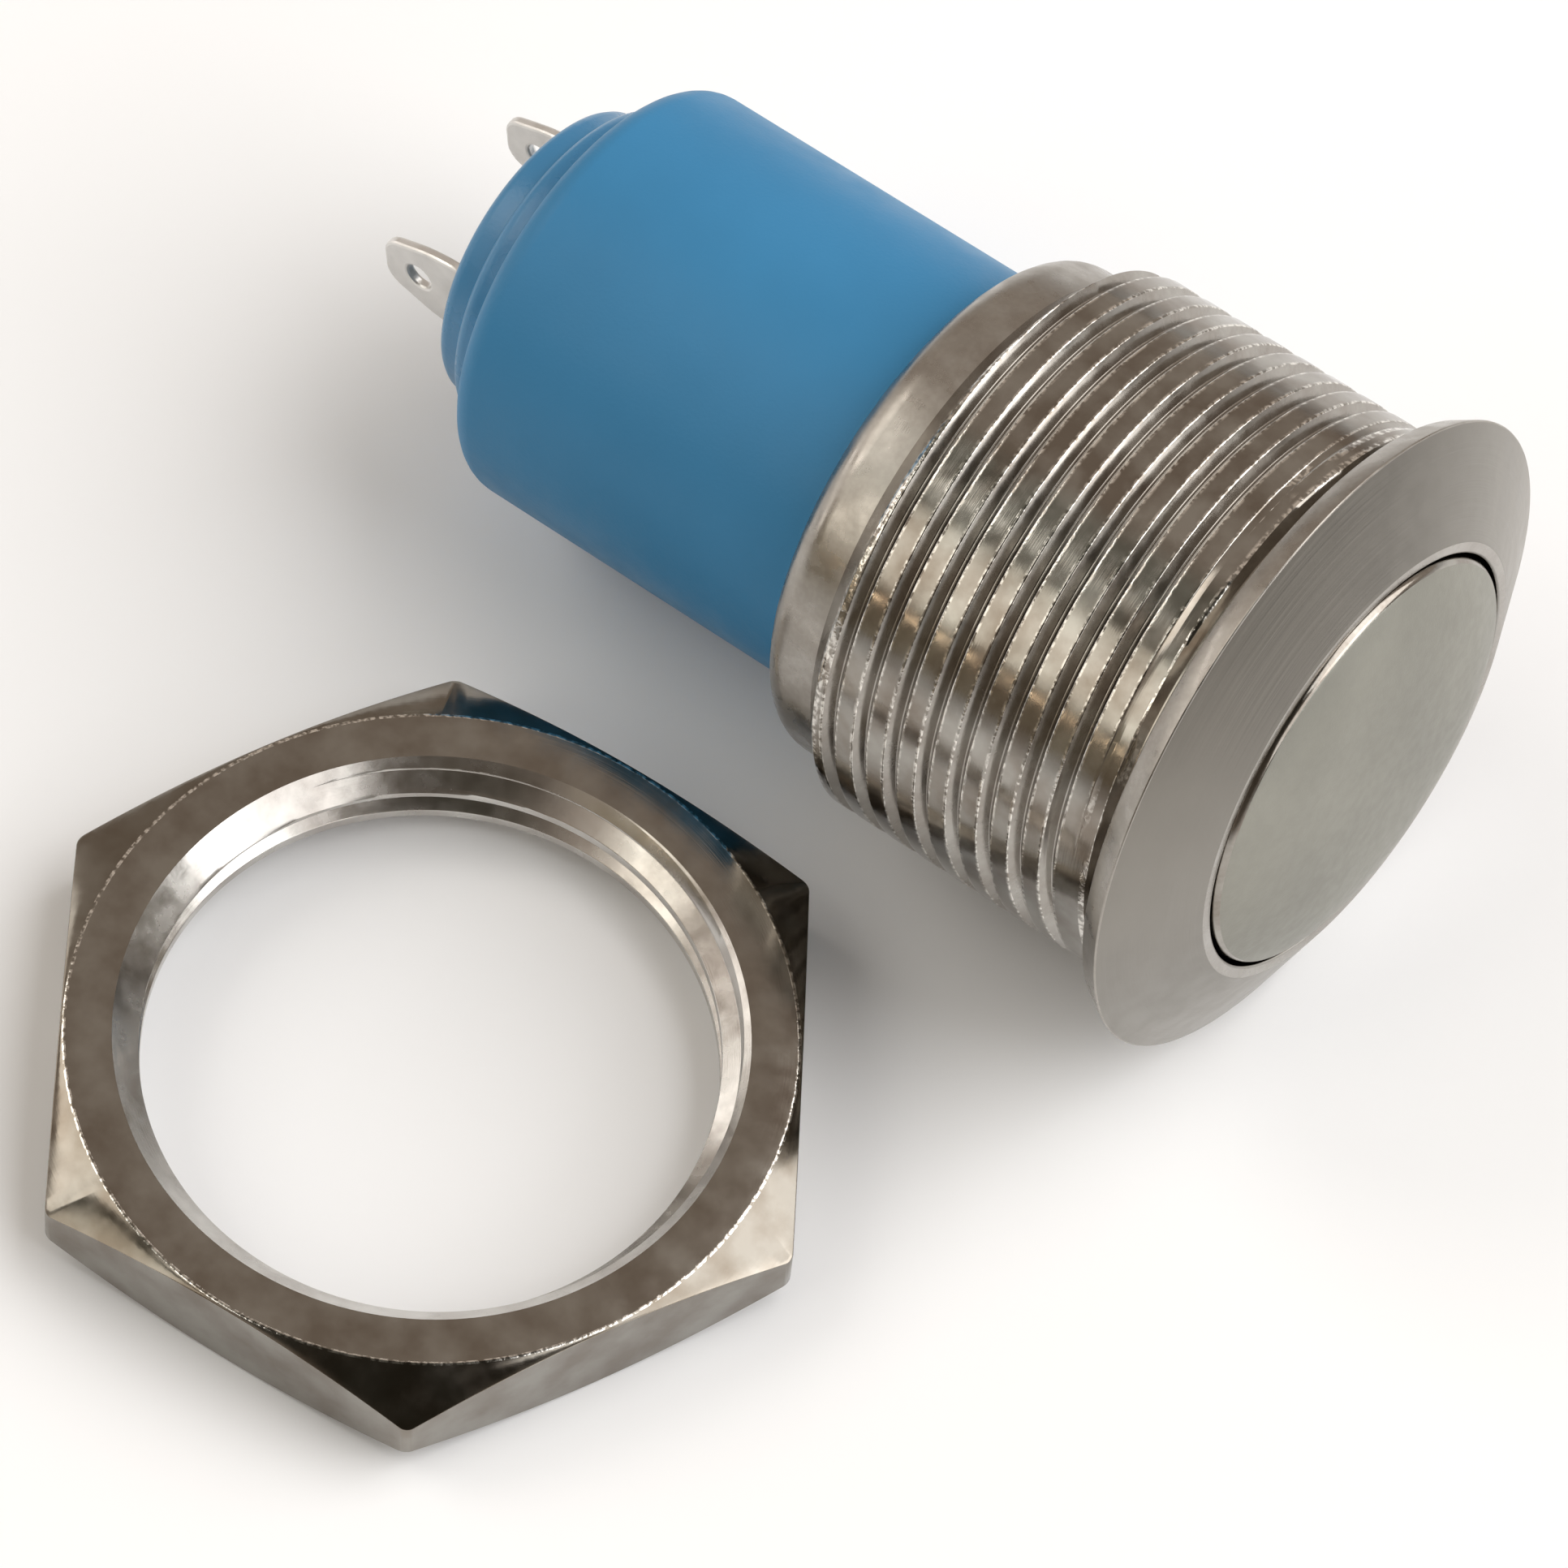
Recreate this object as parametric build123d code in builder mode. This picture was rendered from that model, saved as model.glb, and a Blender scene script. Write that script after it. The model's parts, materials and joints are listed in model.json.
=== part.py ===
from build123d import *
from math import atan2, cos, degrees, hypot, radians, sin, tan
import os

# Anti vandal push button for a 16 mm panel hole, lying on its side with its hexagon nut beside it.
# Millimetres, +Z up. The origin is the centre of the seat face that meets the panel, on the axis of the
# switch. The axis runs close to X, with the button at +X, and it dips towards the tail, because the switch
# rests on the rim of its flange and on the rear end of its thread.
# Places along the switch are given from the seat face: positive towards the button, negative to the tail.

# Metal barrel: flange, thread and rolled rear collar
front_wall = 1.92
rear_wall = 1.4
thread_rear = -9.9
thread_chamfer = 0.6
thread_pitch = 1.0
thread_groove_width = 0.42
thread_groove_depth = 0.34
thread_groove_first = -0.95
flange_overhang = 1.2
flange_rim_taper = 0.4
flange_rim_height = 0.69
bezel_height = 1.97
bezel_ring_width = 0.47
collar_step = 0.7
collar_length = 1.8
collar_round = 0.9
collar_lip_length = 1.0
web_front = -4.1
web_thickness = 1.2

# Button and its seal
button_clearance = 0.13
button_edge_height = 1.62
button_edge_round = 0.55
button_apex_height = 3.05
button_roof_under = 1.3
button_travel = 1.6
button_stop_gap = 0.05
button_skirt_wall = 1.4
button_boss_r = 2.2
button_boss_gap = 0.4
seal_groove_front = -0.2
seal_wire = 0.78
seal_clearance = 0.03
seal_side_clearance = 0.06
seal_floor_clearance = 0.01

# Plunger, its guide and its clips
plunger_r = 1.5
plunger_head_r = 1.2
plunger_head_top = 0.6
plunger_rod_r = 1.0
plunger_collar_r = 2.4
plunger_collar_thickness = 0.6
plunger_tail_length = 0.35
guide_clearance = 0.03
guide_wall = 1.07
guide_fit = 0.02
guide_spigot_height = 0.9
guide_flange_overlap = 0.75
clip_r = 2.6
clip_thickness = 0.5
clip_slot_width = 1.6
clip_groove_depth = 0.4
rest_gap = 0.05

# Springs
return_spring_clearance = 0.575
return_spring_room = 0.925
return_spring_wire = 0.45
return_spring_turns = 5
bridge_spring_length = 6.2
bridge_spring_clearance = 0.45
bridge_spring_wire = 0.3
bridge_spring_turns = 6

# Contacts
bridge_end_clearance = 0.3
bridge_width = 2.4
bridge_thickness = 0.4
bridge_clearance = 0.05
bridge_clip_r = 1.7
bridge_clip_thickness = 0.5
bridge_clip_groove_depth = 0.25
bridge_clip_slot_width = 1.0
contact_r = 0.8
contact_height = 0.4
contact_gap = 1.1
contact_round = 0.15

# Blue rear housing
housing_reach = 11.4
housing_flange_width = 0.52
housing_round = 0.8
collar_clearance = 0.03
gasket_thickness = 0.6
gasket_clearance = 0.02

# Terminal base in the tail, its resin and the two lugs
base_depth = 4.2
base_fit = 0.02
base_seat_width = 0.22
tail_ring_inset = 1.25
tail_ring_length = 0.9
tail_disc_step = 0.52
tail_disc_length = 0.9
tail_round = 0.22
resin_rim_width = 0.68
resin_depth = 0.6
resin_sink = 0.1
resin_fit = 0.01
plunger_well_clearance = 0.35
plunger_well_wall = 0.3
lug_width = 2.8
lug_thickness = 0.3
lug_reach = 3.1
lug_tip_width = 1.3
lug_taper = 1.5
lug_tip_round = 0.5
lug_hole_r = 0.4
lug_hole_back = 1.15
lug_foot_clearance = 0.15
lug_foot_length = 1.73
lug_foot_width = 2.4

# Hexagon nut, lying flat beside the switch
nut_wall = 1.5
nut_thickness = 2.8
nut_face_inset = 0.1
nut_chamfer_angle = 27.0
nut_corner_round = 0.35
nut_thread_depth = 0.54
nut_groove_width = 0.7
nut_groove_depth = 0.48
nut_countersink_width = 0.71
nut_countersink_depth = 0.7
nut_centre_x = -12.9
nut_gap = 0.95
nut_turn = 6.5

# Radii at the front, from the plunger outwards. The thread comes to 16 mm, for a 16 mm panel hole.
guide_spigot_r = plunger_r + guide_clearance + guide_wall
web_hole_r = guide_spigot_r + guide_fit
return_spring_mean_r = guide_spigot_r + return_spring_clearance + return_spring_wire / 2
button_skirt_bore_r = return_spring_mean_r + return_spring_wire / 2 + return_spring_room
button_r = button_skirt_bore_r + button_skirt_wall
button_bore_r = button_r + button_clearance
thread_r = button_bore_r + front_wall
flange_r = thread_r + flange_overhang
flange_seat_r = flange_r - flange_rim_taper
collar_r = thread_r - collar_step

# The switch lies on its flange rim and on the rear end of its full thread.
contact_run = flange_rim_height - (thread_rear + thread_chamfer)
rest_tilt = degrees(atan2(flange_r - thread_r, contact_run))
axis_x = cos(radians(rest_tilt))
axis_z = sin(radians(rest_tilt))
floor_z = flange_rim_height * axis_z - flange_r * axis_x

switch_axis = Axis((0, 0, 0), (axis_x, 0, axis_z))
# In this plane X is the place along the switch and Y the distance from its axis.
lengthwise = Plane(origin=(0, 0, 0), x_dir=(axis_x, 0, axis_z), z_dir=(0, -1, 0))
# In this plane X is sideways, where the two lugs lie apart, and Y is upwards across the switch.
crosswise = Plane(origin=(0, 0, 0), x_dir=(0, 1, 0), z_dir=(axis_x, 0, axis_z))

# Places along the switch, from the barrel to the tips of the lugs
collar_rear = thread_rear - collar_length
web_rear = web_front - web_thickness
housing_front = web_rear - gasket_thickness
housing_flange_rear = collar_rear + collar_lip_length
housing_rear = collar_rear - housing_reach
base_front = housing_rear + base_depth
tail_ring_rear = housing_rear - tail_ring_length
tail_disc_rear = tail_ring_rear - tail_disc_length
lug_rear = tail_disc_rear - lug_reach

# Radii at the rear: lugs and contacts from the plunger's well outwards, outer sizes from the barrel inwards
plunger_well_r = bridge_clip_r + plunger_well_clearance
bridge_spring_mean_r = plunger_rod_r + bridge_spring_clearance + bridge_spring_wire / 2
foot_inner = plunger_well_r + plunger_well_wall
foot_outer = foot_inner + lug_foot_length
lug_offset = foot_inner + lug_thickness / 2
contact_offset = (foot_inner + foot_outer) / 2
housing_bore_r = hypot(foot_outer, lug_foot_width / 2) + lug_foot_clearance
base_seat_r = housing_bore_r + base_seat_width
guide_flange_r = housing_bore_r + guide_flange_overlap
barrel_rear_bore_r = thread_r - rear_wall
housing_flange_r = barrel_rear_bore_r - collar_clearance
housing_r = housing_flange_r - housing_flange_width
tail_ring_r = housing_r - tail_ring_inset
tail_disc_r = tail_ring_r - tail_disc_step
resin_r = tail_disc_r - resin_rim_width

# Button and plunger lengths
button_skirt_end = web_front + button_travel + button_stop_gap
guide_spigot_front = web_front + guide_spigot_height
button_boss_end = guide_spigot_front + button_travel + button_boss_gap
clip_front = housing_front - rest_gap
clip_rear = clip_front - clip_thickness
clip_groove_r = plunger_r - clip_groove_depth

# Contact bridge and the end of the plunger, from the fixed contacts upwards
foot_front = base_front + lug_thickness
fixed_contact_front = foot_front + contact_height
moving_contact_rear = fixed_contact_front + contact_gap
bridge_rear = moving_contact_rear + contact_height
bridge_front = bridge_rear + bridge_thickness
bridge_clip_front = bridge_rear - rest_gap
bridge_clip_rear = bridge_clip_front - bridge_clip_thickness
bridge_groove_r = plunger_rod_r - bridge_clip_groove_depth
bridge_length = 2 * (housing_bore_r - bridge_end_clearance)
plunger_collar_rear = bridge_front + bridge_spring_length
plunger_collar_front = plunger_collar_rear + plunger_collar_thickness
plunger_end = bridge_clip_rear - plunger_tail_length
plunger_well_rear = plunger_end - button_travel - plunger_well_clearance

def coil(front, rear, mean_r, wire, turns):
    """Round wire wound on the switch axis between two seats."""
    height = front - rear - wire
    start = crosswise.offset(rear + wire / 2).origin
    with BuildPart() as winding:
        with BuildLine() as path:
            Helix(height / turns, height, mean_r, center=start, direction=switch_axis.direction)
        with BuildSketch(Plane(origin=path.line @ 0, z_dir=path.line % 0)):
            Circle(wire / 2)
        sweep(path=path.line, is_frenet=True)
    return winding


def split_ring(front, thickness, outer_r, inner_r, slot_width):
    """Flat clip that is pushed on from the side: a ring with a slot in it."""
    with BuildPart() as clip:
        with BuildSketch(crosswise.offset(front - thickness)):
            Circle(outer_r)
            Circle(inner_r, mode=Mode.SUBTRACT)
            with Locations((0, -outer_r)):
                Rectangle(slot_width, 2 * outer_r, mode=Mode.SUBTRACT)
        extrude(amount=thickness)
    return clip


def rivet(side, rear, height, domed_face):
    """Silver contact, its touching face rounded at the edge."""
    with BuildPart() as contact:
        with BuildSketch(crosswise.offset(rear)):
            with Locations((side * contact_offset, 0)):
                Circle(contact_r)
        extrude(amount=height)
        faces = contact.faces().filter_by(GeomType.PLANE).sort_by(switch_axis)
        fillet(faces[domed_face].edges(), contact_round)
    return contact


def terminal_lug(side):
    """Blade with a solder eye outside and a bent foot inside that carries the fixed contact."""
    blade_plane = lengthwise.offset(-side * lug_offset - lug_thickness / 2)
    half_width = lug_width / 2
    half_tip = lug_tip_width / 2
    with BuildPart() as lug:
        with BuildSketch(blade_plane):
            with BuildLine():
                tip = Polyline(
                    (base_front, half_width),
                    (lug_rear + lug_taper, half_width),
                    (lug_rear, half_tip),
                    (lug_rear, -half_tip),
                    (lug_rear + lug_taper, -half_width),
                    (base_front, -half_width),
                )
                Line(tip @ 1, tip @ 0)
            make_face()
            fillet(vertices().group_by(Axis.X)[0], lug_tip_round)
            with Locations((lug_rear + lug_hole_back, 0)):
                Circle(lug_hole_r, mode=Mode.SUBTRACT)
        extrude(amount=lug_thickness)
        with BuildSketch(crosswise.offset(base_front)):
            with Locations((side * contact_offset, 0)):
                Rectangle(foot_outer - foot_inner, lug_foot_width)
        extrude(amount=lug_thickness)
    return lug


# Barrel: flange with a coned bezel, threaded wall, inner web and rolled collar, turned in one piece.
# The thread has the true pitch and depth, drawn as plain rings.
bezel_ring_r = button_bore_r + bezel_ring_width
thread_end = thread_rear + thread_chamfer
collar_round_start = collar_rear + collar_round
collar_lip_r = collar_r - collar_round
collar_bore_r = housing_r + collar_clearance
groove_half = thread_groove_width / 2
groove_count = int((thread_groove_first - groove_half - thread_end) / thread_pitch) + 1
with BuildPart() as barrel_housing:
    with BuildSketch(lengthwise):
        with BuildLine():
            front = Polyline(
                (web_rear, web_hole_r),
                (web_front, web_hole_r),
                (web_front, button_bore_r),
                (bezel_height, button_bore_r),
                (bezel_height, bezel_ring_r),
                (flange_rim_height, flange_r),
                (0, flange_seat_r),
                (0, thread_r),
                (thread_end, thread_r),
                (thread_rear, collar_r),
                (collar_round_start, collar_r),
            )
            edge = RadiusArc(front @ 1, (collar_rear, collar_lip_r), -collar_round)
            Polyline(
                edge @ 1,
                (collar_rear, collar_bore_r),
                (housing_flange_rear, collar_bore_r),
                (housing_flange_rear, barrel_rear_bore_r),
                (web_rear, barrel_rear_bore_r),
                front @ 0,
            )
        make_face()
        for number in range(groove_count):
            with Locations((thread_groove_first - number * thread_pitch, thread_r)):
                Polygon(
                    (-groove_half, 0),
                    (0, -thread_groove_depth),
                    (groove_half, 0),
                    align=None,
                    mode=Mode.SUBTRACT,
                )
    revolve(axis=switch_axis)

# Button cap: shallow dome with a polished edge, a skirt in the bore and a boss for the plunger
button_dome_edge_r = button_r - button_edge_round
button_dome_height = button_apex_height - button_edge_height - button_edge_round
button_dome_radius = (button_dome_edge_r**2 + button_dome_height**2) / (2 * button_dome_height)
seal_mean_r = button_bore_r - seal_clearance - seal_wire / 2
seal_groove_rear = seal_groove_front - seal_wire - 2 * seal_side_clearance
seal_groove_r = seal_mean_r - seal_wire / 2 - seal_floor_clearance
with BuildPart() as button_cap:
    with BuildSketch(lengthwise):
        with BuildLine():
            dome = RadiusArc(
                (button_apex_height, 0),
                (button_edge_height + button_edge_round, button_dome_edge_r),
                -button_dome_radius,
            )
            edge = RadiusArc(dome @ 1, (button_edge_height, button_r), -button_edge_round)
            Polyline(
                edge @ 1,
                (seal_groove_front, button_r),
                (seal_groove_front, seal_groove_r),
                (seal_groove_rear, seal_groove_r),
                (seal_groove_rear, button_r),
                (button_skirt_end, button_r),
                (button_skirt_end, button_skirt_bore_r),
                (button_roof_under, button_skirt_bore_r),
                (button_roof_under, button_boss_r),
                (button_boss_end, button_boss_r),
                (button_boss_end, plunger_head_r + guide_fit),
                (plunger_head_top, plunger_head_r + guide_fit),
                (plunger_head_top, 0),
                dome @ 0,
            )
        make_face()
    revolve(axis=switch_axis)

# Seal ring in the groove of the button
with BuildPart() as button_seal:
    with BuildSketch(lengthwise):
        with Locations(((seal_groove_front + seal_groove_rear) / 2, seal_mean_r)):
            Circle(seal_wire / 2)
    revolve(axis=switch_axis)

# Plunger: head pressed into the button, guided shaft, spring collar and thin rod for the contact bridge
with BuildPart() as plunger:
    with BuildSketch(lengthwise):
        with BuildLine():
            Polyline(
                (plunger_head_top, 0),
                (plunger_head_top, plunger_head_r),
                (button_boss_end, plunger_head_r),
                (button_boss_end, plunger_r),
                (clip_front, plunger_r),
                (clip_front, clip_groove_r),
                (clip_rear, clip_groove_r),
                (clip_rear, plunger_r),
                (plunger_collar_front, plunger_r),
                (plunger_collar_front, plunger_collar_r),
                (plunger_collar_rear, plunger_collar_r),
                (plunger_collar_rear, plunger_rod_r),
                (bridge_clip_front, plunger_rod_r),
                (bridge_clip_front, bridge_groove_r),
                (bridge_clip_rear, bridge_groove_r),
                (bridge_clip_rear, plunger_rod_r),
                (plunger_end, plunger_rod_r),
                (plunger_end, 0),
                close=True,
            )
        make_face()
    revolve(axis=switch_axis)

# Flanged bush that guides the plunger through the web, its flange as thick as the gasket around it
with BuildPart() as plunger_guide:
    with BuildSketch(crosswise.offset(web_rear)):
        Circle(guide_spigot_r)
    extrude(amount=guide_spigot_front - web_rear)
    with BuildSketch(crosswise.offset(housing_front)):
        Circle(guide_flange_r)
    extrude(amount=gasket_thickness)
    with BuildSketch(crosswise.offset(housing_front)):
        Circle(plunger_r + guide_clearance)
    extrude(amount=guide_spigot_front - housing_front, mode=Mode.SUBTRACT)

# Clip that holds the button in against the return spring, and the clip under the contact bridge
retaining_clip = split_ring(clip_front, clip_thickness, clip_r, clip_groove_r, clip_slot_width)
bridge_clip = split_ring(
    bridge_clip_front, bridge_clip_thickness, bridge_clip_r, bridge_groove_r, bridge_clip_slot_width
)

# Return spring under the button, and the lighter spring that presses the contact bridge
return_spring = coil(
    button_roof_under, web_front, return_spring_mean_r, return_spring_wire, return_spring_turns
)
bridge_spring = coil(
    plunger_collar_rear, bridge_front, bridge_spring_mean_r, bridge_spring_wire, bridge_spring_turns
)

# Moving contact bridge with its two contacts
with BuildPart() as contact_bridge:
    with BuildSketch(crosswise.offset(bridge_rear)):
        SlotOverall(bridge_length, bridge_width)
        Circle(plunger_rod_r + bridge_clearance, mode=Mode.SUBTRACT)
    extrude(amount=bridge_thickness)
moving_contact_a = rivet(1, moving_contact_rear, contact_height, 0)
moving_contact_b = rivet(-1, moving_contact_rear, contact_height, 0)

# Blue housing: clamped flange in the barrel, body, rounded tail end, bore stepped for the terminal base
housing_end_r = housing_r - housing_round
base_bore_r = base_seat_r + base_fit
with BuildPart() as rear_housing:
    with BuildSketch(lengthwise):
        with BuildLine():
            outside = Polyline(
                (housing_front, housing_bore_r),
                (housing_front, housing_flange_r),
                (housing_flange_rear, housing_flange_r),
                (housing_flange_rear, housing_r),
                (housing_rear + housing_round, housing_r),
            )
            shoulder = RadiusArc(outside @ 1, (housing_rear, housing_end_r), -housing_round)
            Polyline(
                shoulder @ 1,
                (housing_rear, base_bore_r),
                (base_front, base_bore_r),
                (base_front, housing_bore_r),
                outside @ 0,
            )
        make_face()
    revolve(axis=switch_axis)

# Flat gasket between the web of the barrel and the blue housing
with BuildPart() as housing_gasket:
    with BuildSketch(crosswise.offset(housing_front)):
        Circle(housing_flange_r)
        Circle(guide_flange_r + gasket_clearance, mode=Mode.SUBTRACT)
    extrude(amount=gasket_thickness)

# Terminal base: plug in the housing, stepped tail with rounded edges, resin pocket and plunger well
resin_floor = tail_disc_rear + resin_depth
with BuildPart() as terminal_base:
    with BuildSketch(lengthwise):
        with BuildLine():
            plug = Polyline(
                (base_front, 0),
                (base_front, base_seat_r),
                (housing_rear, base_seat_r),
                (housing_rear, tail_ring_r),
                (tail_ring_rear + tail_round, tail_ring_r),
            )
            ring_edge = RadiusArc(plug @ 1, (tail_ring_rear, tail_ring_r - tail_round), -tail_round)
            step = Polyline(
                ring_edge @ 1,
                (tail_ring_rear, tail_disc_r),
                (tail_disc_rear + tail_round, tail_disc_r),
            )
            disc_edge = RadiusArc(step @ 1, (tail_disc_rear, tail_disc_r - tail_round), -tail_round)
            Polyline(
                disc_edge @ 1,
                (tail_disc_rear, resin_r),
                (resin_floor, resin_r),
                (resin_floor, 0),
                plug @ 0,
            )
        make_face()
    revolve(axis=switch_axis)
    with BuildSketch(crosswise.offset(base_front)):
        Circle(plunger_well_r)
    extrude(amount=plunger_well_rear - base_front, mode=Mode.SUBTRACT)
    with BuildSketch(crosswise.offset(tail_disc_rear)):
        with Locations((-lug_offset, 0), (lug_offset, 0)):
            Rectangle(lug_thickness, lug_width)
    extrude(amount=base_front - tail_disc_rear, mode=Mode.SUBTRACT)

# Resin that seals the lugs where they leave the base
with BuildPart() as resin_seal:
    with BuildSketch(crosswise.offset(tail_disc_rear + resin_sink)):
        Circle(resin_r - resin_fit)
        with Locations((-lug_offset, 0), (lug_offset, 0)):
            Rectangle(lug_thickness, lug_width, mode=Mode.SUBTRACT)
    extrude(amount=resin_depth - resin_sink)

# Two soldering lugs, each with its fixed contact
terminal_lug_a = terminal_lug(1)
terminal_lug_b = terminal_lug(-1)
fixed_contact_a = rivet(1, foot_front, contact_height, -1)
fixed_contact_b = rivet(-1, foot_front, contact_height, -1)

# Hexagon nut, chamfered on both faces, with a countersunk bore and one ring for its thread
nut_across_flats = 2 * (thread_r + nut_wall)
nut_face_r = nut_across_flats / 2 - nut_face_inset
nut_minor_r = thread_r - nut_thread_depth
nut_countersink_r = nut_minor_r + nut_countersink_width
nut_centre_y = -(thread_r + nut_gap + nut_across_flats / 2)
nut_floor = Plane(origin=(nut_centre_x, nut_centre_y, floor_z), x_dir=(1, 0, 0), z_dir=(0, 0, 1))
nut_section = Plane(origin=nut_floor.origin, x_dir=(1, 0, 0), z_dir=(0, -1, 0))
nut_reach = nut_across_flats / (2 * cos(radians(30)))
nut_drop = (nut_reach - nut_face_r) * tan(radians(nut_chamfer_angle))
with BuildPart() as panel_nut:
    with BuildSketch(nut_floor):
        RegularPolygon(nut_across_flats / 2, 6, major_radius=False, rotation=nut_turn)
        fillet(vertices(), nut_corner_round)
    extrude(amount=nut_thickness)
    with BuildSketch(nut_section):
        with BuildLine():
            Polyline(
                (nut_minor_r, nut_countersink_depth),
                (nut_countersink_r, 0),
                (nut_face_r, 0),
                (nut_reach, nut_drop),
                (nut_reach, nut_thickness - nut_drop),
                (nut_face_r, nut_thickness),
                (nut_countersink_r, nut_thickness),
                (nut_minor_r, nut_thickness - nut_countersink_depth),
                close=True,
            )
        make_face()
        with Locations((nut_minor_r, nut_thickness / 2)):
            Polygon(
                (0, -nut_groove_width / 2),
                (nut_groove_depth, 0),
                (0, nut_groove_width / 2),
                align=None,
                mode=Mode.SUBTRACT,
            )
    revolve(axis=Axis(nut_floor.origin, (0, 0, 1)), mode=Mode.INTERSECT)

pieces = {
    "barrel_housing": barrel_housing,
    "button_cap": button_cap,
    "button_seal": button_seal,
    "plunger": plunger,
    "plunger_guide": plunger_guide,
    "retaining_clip": retaining_clip,
    "return_spring": return_spring,
    "bridge_spring": bridge_spring,
    "bridge_clip": bridge_clip,
    "contact_bridge": contact_bridge,
    "moving_contact_a": moving_contact_a,
    "moving_contact_b": moving_contact_b,
    "rear_housing": rear_housing,
    "housing_gasket": housing_gasket,
    "terminal_base": terminal_base,
    "resin_seal": resin_seal,
    "terminal_lug_a": terminal_lug_a,
    "terminal_lug_b": terminal_lug_b,
    "fixed_contact_a": fixed_contact_a,
    "fixed_contact_b": fixed_contact_b,
    "panel_nut": panel_nut,
}

os.makedirs("parts", exist_ok=True)
for name, piece in pieces.items():
    piece.part.label = name
    export_step(piece.part, f"parts/{name}.step")
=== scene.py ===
"""Dresses the anti vandal push button: finer metal, moulded plastic, soldering lugs and hexagon nut."""
import json
from math import atan2, cos, inf, pi, radians, sin, tan, tau

import bmesh
import bpy
from mathutils import Euler, Matrix, Vector


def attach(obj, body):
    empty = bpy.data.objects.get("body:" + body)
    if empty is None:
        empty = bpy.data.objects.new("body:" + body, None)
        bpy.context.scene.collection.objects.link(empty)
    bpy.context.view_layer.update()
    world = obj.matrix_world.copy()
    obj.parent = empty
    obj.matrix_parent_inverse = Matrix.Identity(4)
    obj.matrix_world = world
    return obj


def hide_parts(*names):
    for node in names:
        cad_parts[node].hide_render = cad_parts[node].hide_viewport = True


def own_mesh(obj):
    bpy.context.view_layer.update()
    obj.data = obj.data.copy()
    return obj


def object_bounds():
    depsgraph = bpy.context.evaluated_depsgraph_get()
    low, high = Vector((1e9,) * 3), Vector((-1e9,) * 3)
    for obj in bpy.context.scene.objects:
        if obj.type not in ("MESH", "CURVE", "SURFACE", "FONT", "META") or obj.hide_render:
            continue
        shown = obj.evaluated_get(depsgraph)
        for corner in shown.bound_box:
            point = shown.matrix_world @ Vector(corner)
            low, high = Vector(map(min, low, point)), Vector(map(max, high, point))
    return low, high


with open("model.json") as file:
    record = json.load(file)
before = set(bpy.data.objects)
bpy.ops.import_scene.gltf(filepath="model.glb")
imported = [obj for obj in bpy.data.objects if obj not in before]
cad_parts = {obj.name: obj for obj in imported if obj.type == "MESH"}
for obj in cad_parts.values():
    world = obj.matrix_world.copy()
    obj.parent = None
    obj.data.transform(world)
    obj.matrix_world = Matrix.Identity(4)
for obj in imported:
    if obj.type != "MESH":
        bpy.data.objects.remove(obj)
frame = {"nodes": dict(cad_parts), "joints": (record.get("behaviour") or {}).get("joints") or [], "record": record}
frame_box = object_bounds()

bl_info = {
    "name": "Anti vandal push button",
    "version": (1, 0, 0),
    "blender": (4, 5, 0),
    "location": "View3D > Sidebar > Push Button",
    "description": "Builds the visible pieces of a 16 mm anti vandal push button and its nut",
    "category": "Object",
}

MM = 0.001
ROUND_STEPS = 192  # steps of a full turn on the lathe
SPRING_STEPS = 48  # steps of one turn of a spring
WIRE_STEPS = 16  # steps round the wire of a spring
EYE_STEPS = 48
ROUNDING_STEP = 0.1 * MM
WELD_GAP = 0.002 * MM  # vertices closer than this are one
HAIR = 0.001 * MM  # leeway of a test by place
EDGE_SHARE = 0.3  # share of a broken edge that has the finish of the face beside it
CREST_EDGE = 0.03 * MM
ROOT_EDGE = 0.02 * MM
ROOT_SHARE = 0.06  # half the flat root of a groove, as a share of its width
NUT_LAND = 0.3 * MM  # land between two grooves of the nut's thread
BRIGHT_EDGE_REACH = 0.045 * MM  # how far the wear and the painted highlight line of an edge reach
FACING = 0.9  # a face whose normal has this share of a direction looks that way
CRISP_ANGLE = radians(18)  # edges of the nut that are sharper are eased
STAMPED_ANGLE = radians(40)  # edges of the lugs that are sharper are eased
FLOOR_SIZE = 8.0
LAMP_DISTANCE = 1.0

# What the frame says about the switch and its nut
mounts = {mount["name"]: mount for mount in frame["record"]["mounts"]}
switch_axis = Vector(frame["joints"][0]["axis"])
lie_angle = atan2(switch_axis.z, switch_axis.x)
to_upright = Matrix.Rotation(lie_angle - pi / 2, 4, "Y")
thread_radius = mounts["panel_thread"]["dims"]["r_mm"] * MM
thread_length = mounts["panel_thread"]["dims"]["length_mm"] * MM
nut_thread_radius = mounts["nut_thread"]["dims"]["r_mm"] * MM
nut_centre = Vector(mounts["nut_thread"]["pos_m"])


def measure(node):
    """Rear end, front end and largest radius of a CAD node, measured along the switch's axis."""
    points = [to_upright @ vertex.co for vertex in frame["nodes"][node].data.vertices]
    heights = [point.z for point in points]
    return min(heights), max(heights), max(point.xy.length for point in points)


barrel_rear, barrel_front, flange_radius = measure("barrel_housing")
housing_rear, housing_front, housing_flange_radius = measure("rear_housing")
button_rear, _, button_radius = measure("button_cap")
tail_rear, tail_front, _ = measure("terminal_base")
lug_rear, lug_front, _ = measure("terminal_lug_a")
resin_rear, resin_front, resin_radius = measure("resin_seal")


def size(name, description, millimetres):
    """A size that a user can set, given here in millimetres."""
    return bpy.props.FloatProperty(
        name=name, description=description, default=millimetres * MM, min=0, precision=6, unit="LENGTH"
    )


def angle_size(name, description, degrees):
    """An angle that a user can set, given here in degrees."""
    return bpy.props.FloatProperty(
        name=name, description=description, default=radians(degrees), subtype="ANGLE"
    )


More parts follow.
